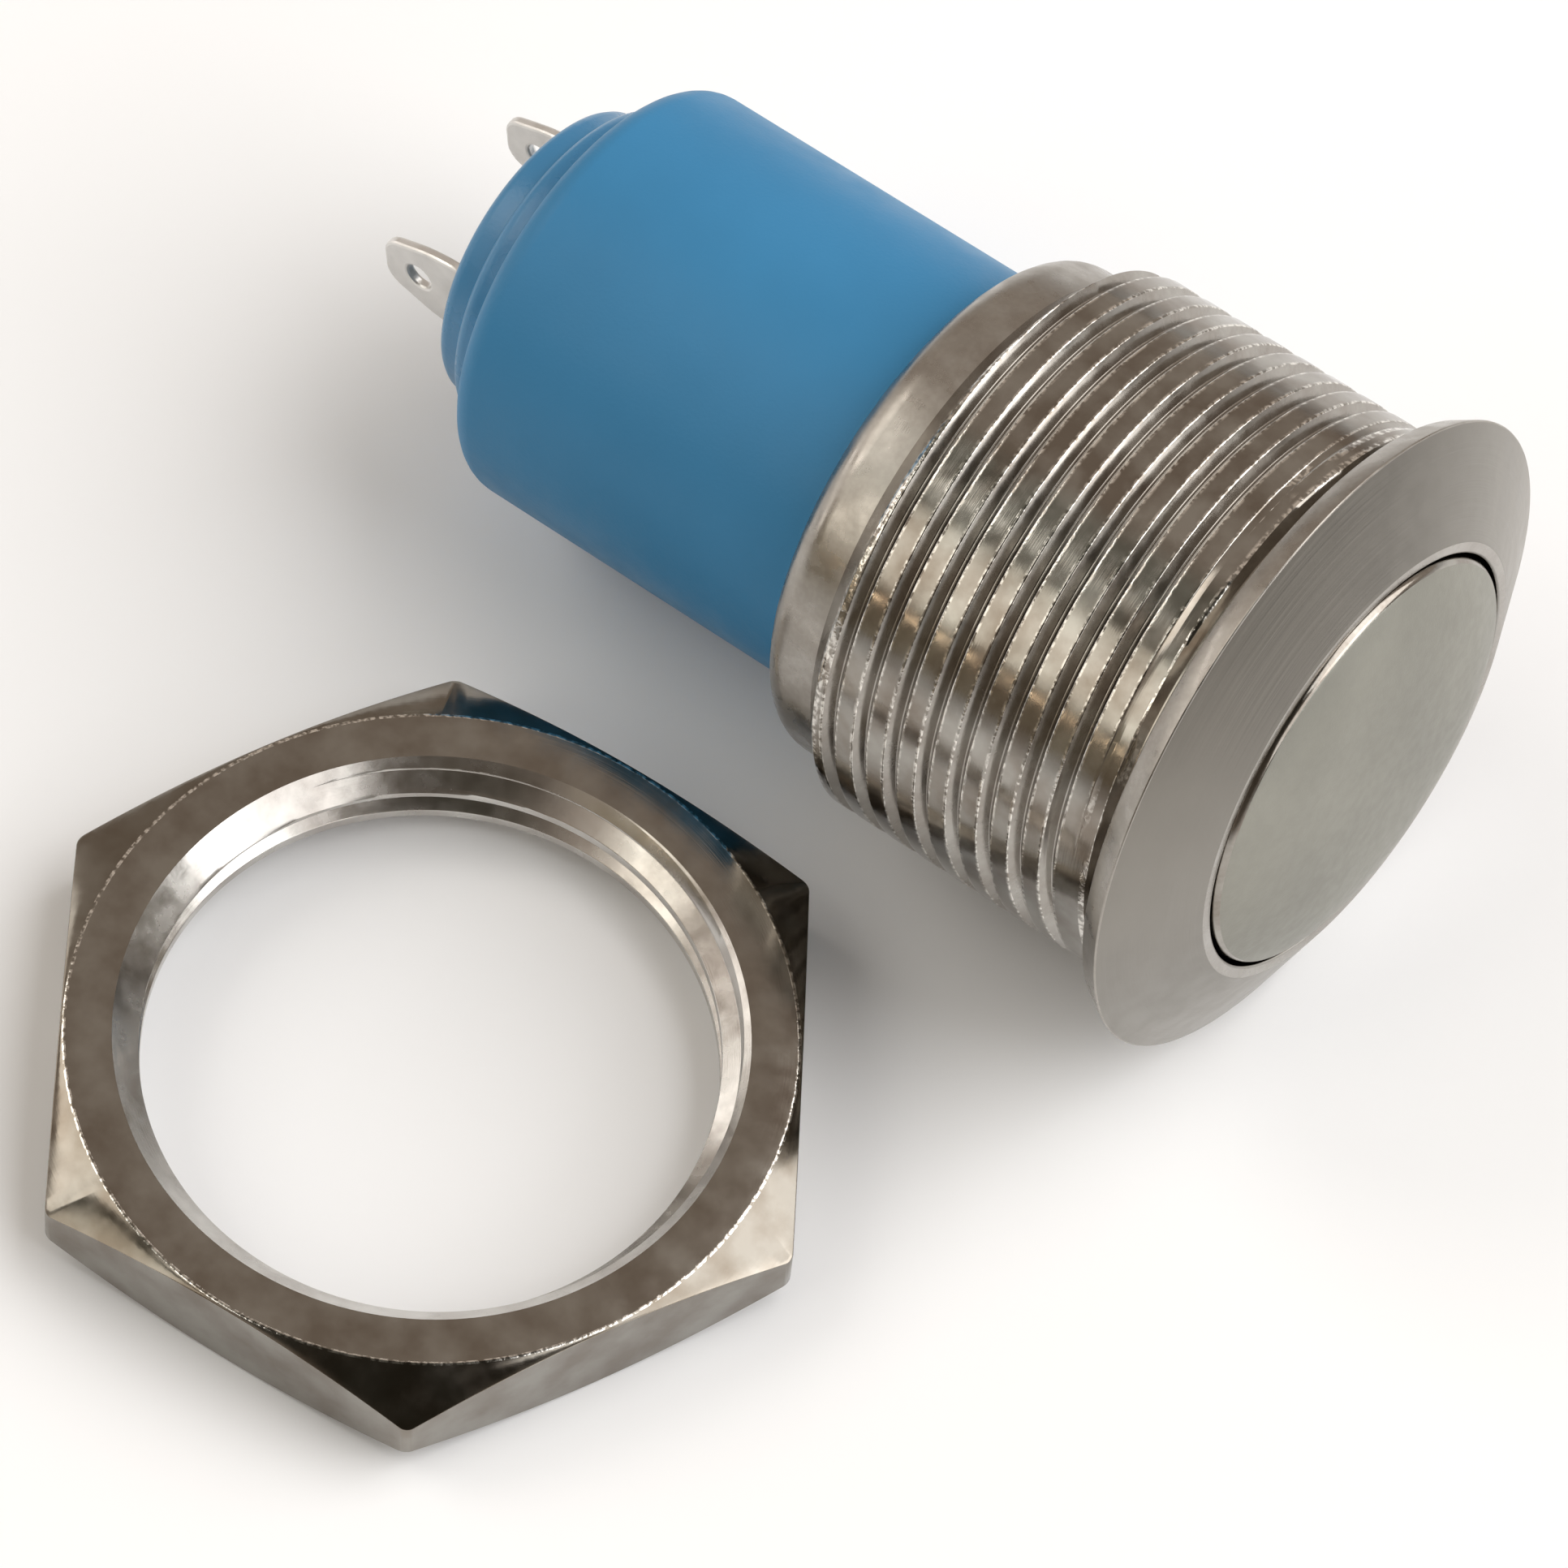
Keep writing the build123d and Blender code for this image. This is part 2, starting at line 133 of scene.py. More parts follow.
def count(name, description, number):
    """A number of things that a user can set."""
    return bpy.props.IntProperty(name=name, description=description, default=number, min=1)


def tint(name, description, red, green, blue):
    """A colour that a user can set."""
    return bpy.props.FloatVectorProperty(
        name=name, description=description, default=(red, green, blue), min=0, max=1, subtype="COLOR"
    )


class BarrelSizes(bpy.types.PropertyGroup):
    """Threaded barrel with its flange and rolled collar"""

    pitch: size("Thread pitch", "Distance from one groove to the next", 1.0)
    groove_width: size("Groove width", "Width of the thread groove at the crest", 0.44)
    groove_depth: size("Groove depth", "Depth of the thread groove", 0.3)
    groove_start: size("Groove start", "Depth of a groove under the seat face, at the lowest side", 0.5246)
    crest_leeway: size("Crest leeway", "How far under the crest a groove's own finish starts", 0.05)
    neck_length: size("Neck length", "Plain neck behind the flange", 0.4)
    neck_depth: size("Neck depth", "How far the neck lies under the crest", 0.2)
    neck_round: size("Neck round", "Rounding between the neck and the flange", 0.08)
    groove_end: size("Groove end", "Depth under the seat face where the groove has faded out", 1.05)
    run_out: size("Run-out", "Length over which the groove fades", 0.6)
    thread_chamfer: size("Thread chamfer", "Length of the chamfer at the rear end of the thread", 0.6)
    rim_height: size("Rim height", "Height of the flange rim over the seat face", 0.69)
    rim_taper: size("Rim taper", "How much narrower the rim is at the seat face", 0.4)
    ring_width: size("Ring width", "Flat ring around the button", 0.34)
    bore_radius: size("Button bore", "Radius of the bore for the button", 6.06)
    web_depth: size("Web depth", "Depth of the inner web under the seat face", 4.1)
    web_thickness: size("Web thickness", "Thickness of the inner web", 1.2)
    web_hole_radius: size("Web hole", "Radius of the hole in the inner web", 2.62)
    rear_bore_radius: size("Rear bore", "Radius of the bore for the rear housing", 6.6)
    collar_step: size("Collar step", "How far the collar lies under the crest", 0.7)
    collar_round: size("Collar round", "Radius of the rolled edge", 0.9)
    collar_lip: size("Collar lip", "Thickness of the rolled lip", 1.0)
    collar_clearance: size("Collar clearance", "Gap between the lip and the rear housing", 0.03)
    edge: size("Edge", "Width of the broken edges", 0.06)


class ButtonSizes(bpy.types.PropertyGroup):
    """Domed button cap"""

    crown_height: size("Crown height", "Height of the middle of the dome", 2.97)
    edge_height: size("Edge height", "Height where the rounded edge starts", 1.84)
    edge_round: size("Edge round", "Radius of the rounded edge", 0.31)
    shoulder_round: size("Shoulder round", "Radius of the dome near its edge", 7.0)
    shoulder_slope: angle_size("Shoulder slope", "Slope of the dome at its edge", 25)
    polished_width: size("Polished width", "Height of the polished part of the rounded edge", 0.25)
    roof_under: size("Roof underside", "Height of the underside of the cap", 1.3)
    skirt_wall: size("Skirt wall", "Wall of the skirt", 1.4)
    boss_radius: size("Boss radius", "Radius of the inner boss", 2.2)
    boss_depth: size("Boss depth", "Depth of the end of the inner boss", 1.2)
    hole_radius: size("Plunger hole", "Radius of the hole for the plunger's head", 1.22)
    hole_top: size("Plunger hole top", "Height of the top of that hole", 0.6)
    groove_start: size("Seal groove", "Depth of the seal groove's upper side", 0.2)
    groove_width: size("Seal groove width", "Width of the seal groove", 0.9)
    groove_depth: size("Seal groove depth", "Depth of the seal groove", 0.69)


class TailSizes(bpy.types.PropertyGroup):
    """Blue rear housing, terminal base and resin"""

    body_radius: size("Body radius", "Radius of the blue housing", 6.05)
    body_round: size("Shoulder", "Radius of the shoulder at the tail", 0.8)
    clamp_length: size("Clamped length", "Length of the flange clamped in the barrel", 4.8)
    bore_radius: size("Bore radius", "Radius of the bore of the blue housing", 4.4028)
    seat_radius: size("Seat radius", "Radius of the terminal base in the housing", 4.6228)
    seat_clearance: size("Seat clearance", "Gap around the terminal base", 0.02)
    ring_radius: size("Ring radius", "Radius of the first step of the tail", 4.8)
    step_length: size("Step length", "Length of each step of the tail", 0.9)
    disc_radius: size("Disc radius", "Radius of the second step of the tail", 4.28)
    step_round: size("Step round", "Radius of the steps' edges", 0.38)
    step_corner: size("Step corner", "Radius of the corner between the steps", 0.06)
    pocket_round: size("Pocket round", "Radius of the edge of the resin's pocket", 0.08)
    resin_clearance: size("Resin clearance", "Gap between the resin and its pocket", 0.01)
    well_radius: size("Well radius", "Radius of the well for the plunger's end", 2.05)
    well_depth: size("Well depth", "Depth of the well for the plunger's end", 0.65)
    resin_depth: size("Resin depth", "Depth of the pocket for the resin", 0.6)
    resin_hollow: size("Resin hollow", "How far the resin sags in its middle", 0.06)


class LugSizes(bpy.types.PropertyGroup):
    """Two tinned soldering lugs"""

    offset: size("Offset", "Distance of each blade from the axis", 2.5)
    width: size("Width", "Width of the blade", 2.8)
    thickness: size("Thickness", "Thickness of the sheet", 0.3)
    tip_width: size("Tip width", "Width of the blade at its tip", 1.5)
    taper: size("Taper", "Length of the tapered tip", 1.8)
    tip_round: size("Tip round", "Rounding of the corners at the tip", 0.42)
    shoulder_round: size("Shoulder round", "Rounding where the taper starts", 0.7)
    eye_radius: size("Eye radius", "Radius of the solder eye", 0.4)
    eye_place: size("Eye place", "Distance of the eye from the tip", 1.15)
    foot_length: size("Foot length", "Length of the bent foot inside", 1.73)
    foot_width: size("Foot width", "Width of the bent foot inside", 2.4)
    edge: size("Edge", "Rounding of the stamped edges", 0.08)


class SpringSizes(bpy.types.PropertyGroup):
    """Return spring and the spring on the contact bridge"""

    return_wire: size("Return spring wire", "Thickness of the return spring's wire", 0.45)
    bridge_wire: size("Bridge spring wire", "Thickness of the bridge spring's wire", 0.3)
    play: size("Play", "How much further than needed a pressed spring shortens", 0.02)
    return_turns: count("Return spring turns", "Number of turns of the return spring", 5)
    bridge_turns: count("Bridge spring turns", "Number of turns of the bridge spring", 6)


class NutSizes(bpy.types.PropertyGroup):
    """Hexagon panel nut"""

    across_flats: size("Across flats", "Width of the nut across its flats", 19.0)
    thickness: size("Thickness", "Thickness of the nut", 2.8)
    face_inset: size("Face inset", "How far the face circle lies inside the flats", 0.1)
    countersink_radius: size("Countersink", "Radius of the countersink", 8.17)
    countersink_depth: size("Countersink depth", "Depth of the countersink", 0.7)
    corner_round: size("Corner round", "Width of the rounding of the six corners", 0.2)
    groove_depth: size("Groove depth", "Depth of the inner thread groove", 0.48)
    edge: size("Edge", "Width of the broken edges", 0.03)
    chamfer_angle: angle_size("Chamfer angle", "Slope of the chamfers", 27)
    turn: angle_size("Turn", "How the nut lies turned on the floor", 6.5)


class FinishColours(bpy.types.PropertyGroup):
    """Colours of the finishes"""

    nickel_dark: tint("Nickel, dark", "Cloudy parts of the nickel plate", 0.225, 0.195, 0.165)
    nickel_light: tint("Nickel, light", "Clear parts of the nickel plate", 0.375, 0.36, 0.33)
    # Lighter than the nickel: painted highlight along the edges, over real nicks and wear
    worn_and_highlight: tint("Worn edges", "Nickel that is rubbed bright along its edges", 0.8, 0.77, 0.72)
    bezel: tint("Bezel", "Turned face of the flange", 0.22, 0.205, 0.18)
    dome: tint("Dome", "Blasted dome of the button", 0.35, 0.345, 0.305)
    blue: tint("Blue plastic", "Rear housing", 0.046, 0.222, 0.43)
    resin: tint("Resin", "Sealing resin in the tail", 0.03, 0.08, 0.13)
    tin: tint("Tin", "Soldering lugs", 0.8, 0.79, 0.77)
    floor: tint("Floor", "Studio floor", 0.925, 0.935, 0.95)


class StudioSettings(bpy.types.PropertyGroup):
    """Camera and light"""

    azimuth: angle_size("Azimuth", "Turn of the camera round the object", 32.95)
    elevation: angle_size("Elevation", "Camera angle over the floor", 60.05)
    roll: angle_size("Roll", "Camera turned about its view line", 6.74)
    lens: bpy.props.FloatProperty(
        name="Lens", description="Focal length", default=224.6, min=1, unit="CAMERA"
    )
    distance: size("Distance", "Distance of the camera from its aim", 248.7)
    aim_left: size("Aim, left", "How far the aim lies to the left of the seat face's centre", 12.96)
    aim_down: size("Aim, down", "How far the aim lies below the seat face's centre", 1.57)
    room: tint("Room", "Colour of the room around the table", 0.48, 0.41, 0.35)


# Modelling by hand: outlines, the lathe and the screw

def select_only(*pieces):
    """Selects these pieces and nothing else, and makes the last one active."""
    bpy.ops.object.select_all(action="DESELECT")
    for piece in pieces:
        piece.select_set(True)
        bpy.context.view_layer.objects.active = piece


def name_new(name):
    """Names the object that was added last."""
    thing = bpy.context.object
    thing.name = thing.data.name = name
    return thing


def start_outline(name, radius, place):
    """Leaves nothing selected but a new piece in edit mode, one vertex at this radius and place."""
    select_only()
    bpy.ops.mesh.primitive_plane_add(size=MM, location=(0, 0, 0))
    piece = name_new(name)
    bpy.ops.object.mode_set(mode="EDIT")
    bpy.ops.mesh.select_mode(type="VERT")
    bpy.ops.mesh.merge(type="CENTER")
    bpy.ops.transform.translate(value=(radius, 0, place))
    return piece


def pen_of(piece):
    """The selected vertex, from which the outline goes on."""
    return next(vertex.co.copy() for vertex in bmesh.from_edit_mesh(piece.data).verts if vertex.select)


def draw_lines(piece, *corners):
    """Extrudes the end of the outline through corners, each given as radius and place."""
    for radius, place in corners:
        step = Vector((radius, 0, place)) - pen_of(piece)
        bpy.ops.mesh.extrude_vertices_move(TRANSFORM_OT_translate={"value": step})


def pick(piece, kind, test):
    """In edit mode, selects only the vertices, edges or faces that pass the test."""
    bpy.ops.mesh.select_mode(type=kind)
    bpy.ops.mesh.select_all(action="DESELECT")
    shape = bmesh.from_edit_mesh(piece.data)
    for part in {"VERT": shape.verts, "EDGE": shape.edges, "FACE": shape.faces}[kind]:
        if test(part):
            part.select_set(True)
    shape.select_flush_mode()
    bmesh.update_edit_mesh(piece.data)


def round_corners(piece, *corners):
    """Rounds corners of an outline, each given as radius, place and width."""
    for radius, place, width in corners:
        corner = Vector((radius, 0, place))
        pick(piece, "VERT", lambda vertex, corner=corner: (vertex.co - corner).length < WELD_GAP)
        steps = max(3, round(width / ROUNDING_STEP))
        bpy.ops.mesh.bevel(offset=width, offset_type="OFFSET", segments=steps, affect="VERTICES")


def turn_on_lathe():
    """Spins the outline round the upright axis and closes its seam and poles."""
    bpy.ops.mesh.select_all(action="SELECT")
    bpy.ops.mesh.spin(steps=ROUND_STEPS, angle=tau, center=(0, 0, 0), axis=(0, 0, 1))
    weld()


def weld():
    """Merges doubled vertices of the piece in edit mode, turns its faces outwards and leaves edit mode."""
    bpy.ops.mesh.select_all(action="SELECT")
    bpy.ops.mesh.remove_doubles(threshold=WELD_GAP)
    bpy.ops.mesh.normals_make_consistent(inside=False)
    bpy.ops.object.mode_set(mode="OBJECT")


def cut_thread(name, crest, depth, groove_width, pitch, start, turns, limit):
    """One tooth, swept up the upright axis turn by turn, then held inside its limits."""
    floor_half = ROOT_SHARE * groove_width
    low = start + (pitch - groove_width) / 2
    high = low + groove_width
    middle = start + pitch / 2
    floor_low, floor_high = middle - floor_half, middle + floor_half
    root = crest + depth
    tooth = start_outline(name, crest, start)
    draw_lines(tooth, (crest, low), (root, floor_low), (root, floor_high), (crest, high))
    draw_lines(tooth, (crest, start + pitch))
    pick(tooth, "EDGE", lambda edge: all(abs(vertex.co.x - crest) < HAIR for vertex in edge.verts))
    bpy.ops.mesh.subdivide(number_cuts=2)
    round_corners(
        tooth, (crest, low, CREST_EDGE), (crest, high, CREST_EDGE), (root, floor_low, ROOT_EDGE),
        (root, floor_high, ROOT_EDGE),
    )
    bpy.ops.object.mode_set(mode="OBJECT")
    sweep_up(tooth, pitch, turns, ROUND_STEPS)
    for vertex in tooth.data.vertices:
        outwards = vertex.co.xy.normalized()
        radius, place = limit(vertex.co.xy.length, vertex.co.z)
        vertex.co = (outwards.x * radius, outwards.y * radius, place)
    return tooth


def sweep_up(piece, pitch, turns, steps):
    """Sweeps the piece round and up the upright axis, turn by turn."""
    apply_modifier(
        piece, "Sweep", "SCREW", axis="Z", angle=tau, screw_offset=pitch, iterations=turns, steps=steps,
        render_steps=steps,
    )


def join_into(piece, other):
    """Joins the other piece into this one and welds the circles where they meet."""
    select_only(other, piece)
    bpy.ops.object.join()
    bpy.ops.object.mode_set(mode="EDIT")
    weld()


def apply_modifier(piece, name, kind, **settings):
    """Adds a modifier with these settings and applies it."""
    modifier = piece.modifiers.new(name, kind)
    for setting, value in settings.items():
        setattr(modifier, setting, value)
    bpy.ops.object.modifier_apply(modifier=modifier.name)


def within(low, high, inner=0.0, outer=inf):
    """A test for faces whose middle lies between two places and two radii."""

    def passes(face):
        middle = face.calc_center_median()
        return low < middle.z < high and inner < middle.xy.length < outer

    return passes


def paint(piece, material, *others):
    """Gives the piece its material, and each other one, paired with a test, to the faces that pass."""
    piece.data.materials.clear()
    piece.data.materials.append(material)
    for number, (other, test) in enumerate(others, 1):
        piece.data.materials.append(other)
        bpy.ops.object.mode_set(mode="EDIT")
        pick(piece, "FACE", test)
        piece.active_material_index = number
        bpy.ops.object.material_slot_assign()
        bpy.ops.object.mode_set(mode="OBJECT")


def lay_along_switch(piece):
    """Turns a piece that was modelled upright so that it lies along the switch."""
    piece.rotation_euler = (0, pi / 2 - lie_angle, 0)
    bpy.ops.object.transform_apply(location=False, rotation=True, scale=False)


def hand_over(piece, node, body, smooth=30, upright=True):
    """Lays the piece along the switch, shades it smooth up to an angle and lets it stand for its CAD node."""
    if upright:
        lay_along_switch(piece)
    bpy.ops.object.shade_smooth_by_angle(angle=radians(smooth))
    apply_modifier(piece, "Even shading", "WEIGHTED_NORMAL", keep_sharp=True)
    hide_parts(node)
    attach(piece, body)


# Materials

def add_node(material, kind, inputs=(), **settings):
    """Adds a shader node with its settings, and fills each input with a value or another node's output."""
    tree = material.node_tree
    node = tree.nodes.new(kind)
    for name, value in settings.items():
        setattr(node, name, value)
    for socket, value in dict(inputs).items():
        if isinstance(value, bpy.types.NodeSocket):
            tree.links.new(value, node.inputs[socket])
        else:
            node.inputs[socket].default_value = value
    return node


def new_material(name, metallic, roughness):
    """A material and its shader."""
    material = bpy.data.materials.new(name)
    material.use_nodes = True
    shader = material.node_tree.nodes["Principled BSDF"]
    shader.inputs["Metallic"].default_value = metallic
    shader.inputs["Roughness"].default_value = roughness
    return material, shader


def object_place(material, centre, turn):
    """Object coordinates, centred on a piece and turned so that X runs along its axis."""
    coordinates = add_node(material, "ShaderNodeTexCoord")
    moved = Euler(turn).to_matrix() @ Vector(centre)
    inputs = {"Vector": coordinates.outputs["Object"], "Location": -moved, "Rotation": turn}
    return add_node(material, "ShaderNodeMapping", inputs).outputs["Vector"]


def switch_place(material):
    """Object coordinates with X along the switch."""
    return object_place(material, (0, 0, 0), (0, lie_angle, 0))


def nut_place(material):
    """Object coordinates with X up through the nut."""
    return object_place(material, nut_centre, (0, pi / 2, 0))


def map_range(material, value, low, high, to_low=0.0, to_high=1.0, **settings):
    """A value, stretched from one range to another."""
    inputs = {"Value": value, "From Min": low, "From Max": high, "To Min": to_low, "To Max": to_high}
    return add_node(material, "ShaderNodeMapRange", inputs, **settings).outputs["Result"]


def reckon(material, operation, *values):
    """One step of arithmetic."""
    return add_node(material, "ShaderNodeMath", dict(enumerate(values)), operation=operation).outputs["Value"]


def reckon_vector(material, operation, *values, result="Vector"):
    """One step of arithmetic with vectors."""
    inputs = dict(enumerate(values))
    return add_node(material, "ShaderNodeVectorMath", inputs, operation=operation).outputs[result]


def noise(material, place, scale, detail=3.0, low=0.35, high=0.65, to_low=0.0, to_high=1.0):
    """Noise at a place, stretched to a range."""
    speckle = add_node(material, "ShaderNodeTexNoise", {"Vector": place, "Scale": scale, "Detail": detail})
    return map_range(material, speckle.outputs["Fac"], low, high, to_low, to_high)


def from_axis(material, place):
    """How far along the axis a place lies, the way to it from the axis and its distance from the axis."""
    parts = add_node(material, "ShaderNodeSeparateXYZ", {"Vector": place}).outputs
    way = add_node(material, "ShaderNodeCombineXYZ", {"Y": parts["Y"], "Z": parts["Z"]}).outputs["Vector"]
    return parts["X"], way, reckon_vector(material, "LENGTH", way, result="Value")


def turned_place(material, place, fineness, roundness):
    """Coordinates for lines that a lathe tool leaves: fine across the lines and nearly even along them."""
    along, way, radius = from_axis(material, place)
    outwards = reckon_vector(material, "NORMALIZE", way)
    spread = reckon_vector(material, "MULTIPLY", outwards, (roundness, roundness, roundness))
    across = reckon(material, "MULTIPLY", reckon(material, "ADD", along, radius), fineness)
    line = add_node(material, "ShaderNodeCombineXYZ", {"X": across}).outputs["Vector"]
    return reckon_vector(material, "ADD", spread, line)


def blend_colours(material, factor, first, second):
    """A blend of two colours, each a fixed colour or another node's output."""
    mix = add_node(material, "ShaderNodeMix", data_type="RGBA")
    links = material.node_tree.links
    links.new(factor, mix.inputs[0])
    for socket, colour in ((mix.inputs[6], first), (mix.inputs[7], second)):
        if isinstance(colour, bpy.types.NodeSocket):
            links.new(colour, socket)
        else:
            socket.default_value = (*colour, 1)
    return mix.outputs[2]


def vary_colour(material, shader, factor, first, second):
    """Lets the base colour vary between two colours."""
    blend = blend_colours(material, factor, first, second)
    material.node_tree.links.new(blend, shader.inputs["Base Color"])


def vary_gloss(material, shader, place, scale, low, high, detail=3.0):
    """Lets the roughness vary between two values."""
    gloss = noise(material, place, scale, detail, to_low=low, to_high=high)
    material.node_tree.links.new(gloss, shader.inputs["Roughness"])


def add_relief(material, shader, *layers):
    """Chains bump nodes: each layer is a height, its strength and its depth in millimetres."""
    normal = None
    for height, strength, depth in layers:
        inputs = {"Height": height, "Strength": strength, "Distance": depth * MM}
        if normal is not None:
            inputs["Normal"] = normal
        normal = add_node(material, "ShaderNodeBump", inputs).outputs["Normal"]
    material.node_tree.links.new(normal, shader.inputs["Normal"])


def darker(colour, share):
    """The colour, darker by a share."""
    return [value * (1 - share) for value in colour]


def lighter(colour, amount):
    """The colour, lighter by an amount."""
    return [value + amount for value in colour]


def thread_edges(material, place):
    """Where the edges of the thread are, from how far they stick out."""
    geometry = add_node(material, "ShaderNodeNewGeometry")
    return map_range(material, geometry.outputs["Pointiness"], 0.506, 0.518)


def face_circle(material, place):
    """Where the chamfers of the nut meet its faces."""
    sizes = bpy.context.scene.nut_sizes
    circle = sizes.across_flats / 2 - sizes.face_inset
    return reckon(material, "COMPARE", from_axis(material, place)[2], circle, BRIGHT_EDGE_REACH)


def nickel_plate(name, place_of, painted_lightness=0.0, roughness=0.15, edges_of=None, haze=1.0):
    """Nickel with clouds in its colour and gloss and faint turning lines, with nicks on its edges and a painted
    highlight along them.
    """
    colours = bpy.context.scene.finish_colours
    material, shader = new_material(name, 1.0, roughness)
    place = place_of(material)
    # The lightness given to this copy makes its colour lighter or darker: painted light or shade for the part it
    # goes on.
    dark, light = (lighter(colour, painted_lightness) for colour in (colours.nickel_dark, colours.nickel_light))
    cloudy = noise(material, place, 700, 6, to_low=0.5 - haze / 2, to_high=0.5 + haze / 2)
    clouds = blend_colours(material, cloudy, dark, light)
    # Edges: nicks as a faint bump, and along the same line a lighter base colour that is painted highlight.
    nicks = noise(material, place, 6500, 2, low=0.42, high=0.6)
    wear_and_highlight = reckon(material, "MULTIPLY", nicks, edges_of(material, place) if edges_of else 0.05)
    vary_colour(material, shader, wear_and_highlight, clouds, colours.worn_and_highlight)
    vary_gloss(material, shader, place, 1500, 0.75 * roughness, 1.3 * roughness, detail=4)
    lines = noise(material, turned_place(material, place, 26000, 1.5), 1, 2)
    pits = noise(material, place, 5200, 3, low=0.5, high=0.8)
    add_relief(material, shader, (lines, 0.05, 0.006), (pits, 0.03 * haze, 0.01), (wear_and_highlight, 0.3 * haze, 0.01))
    return material


def turned_bezel():
    """Fine concentric turning lines on the cone of the flange, which draw its highlights out radially, with
    painted light that makes its lower side lighter.
    """
    colours = bpy.context.scene.finish_colours
    material, shader = new_material("turned_bezel", 1.0, 0.3)
    place = switch_place(material)
    cloudy = noise(material, place, 300, 4)
    clouds = blend_colours(material, cloudy, darker(colours.bezel, 0.12), colours.bezel)
    # Painted light: the base colour grows up to 0.26 lighter towards the lower side of the bezel, standing in for
    # the brighter light it reflects there.
    side = reckon_vector(material, "DOT_PRODUCT", place, (0, 0.35, -0.94), result="Value")
    painted_light_low_side = map_range(material, side, -flange_radius, flange_radius)
    vary_colour(material, shader, painted_light_low_side, clouds, lighter(colours.bezel, 0.26))
    vary_gloss(material, shader, place, 1200, 0.3, 0.4)
    lines = noise(material, turned_place(material, place, 16000, 0.6), 1, 3)
    add_relief(material, shader, (lines, 0.3, 0.01))
    coordinates = add_node(material, "ShaderNodeTexCoord").outputs["Object"]
    around = reckon_vector(material, "CROSS_PRODUCT", switch_axis, coordinates)
    material.node_tree.links.new(around, shader.inputs["Tangent"])
    shader.inputs["Anisotropic"].default_value = 0.8
    return material


def blasted_dome():
    """Fine matte surface of the dome."""
    colours = bpy.context.scene.finish_colours
    material, shader = new_material("blasted_dome", 1.0, 0.42)
    place = switch_place(material)
    vary_colour(material, shader, noise(material, place, 260, 6), darker(colours.dome, 0.15), colours.dome)
    vary_gloss(material, shader, place, 3000, 0.38, 0.46)
    add_relief(material, shader, (noise(material, place, 14000, 2), 0.25, 0.01))
    return material


def moulded_plastic(name, roughness, specular=0.2):
    """Satin moulded plastic with a faint grain."""
    colours = bpy.context.scene.finish_colours
    material, shader = new_material(name, 0.0, roughness)
    shader.inputs["Specular IOR Level"].default_value = specular
    place = switch_place(material)
    vary_colour(material, shader, noise(material, place, 160, 5), darker(colours.blue, 0.08), colours.blue)
    vary_gloss(material, shader, place, 900, roughness - 0.04, roughness + 0.04)
    waves = noise(material, place, 500, 1)
    grain = noise(material, place, 9000, 3)
    add_relief(material, shader, (waves, 0.15, 0.02), (grain, 0.2, 0.01))
    return material


def plain_finish(name, colour, metallic, roughness, grain=0.15):
    """A finish with slight changes of colour and gloss and a faint grain."""
    material, shader = new_material(name, metallic, roughness)
    place = switch_place(material)
    vary_colour(material, shader, noise(material, place, 700, 4), darker(colour, 0.15), colour)
    vary_gloss(material, shader, place, 2400, roughness - 0.06, roughness + 0.06)
    add_relief(material, shader, (noise(material, place, 8000, 3), grain, 0.01))
    return material


# Pieces

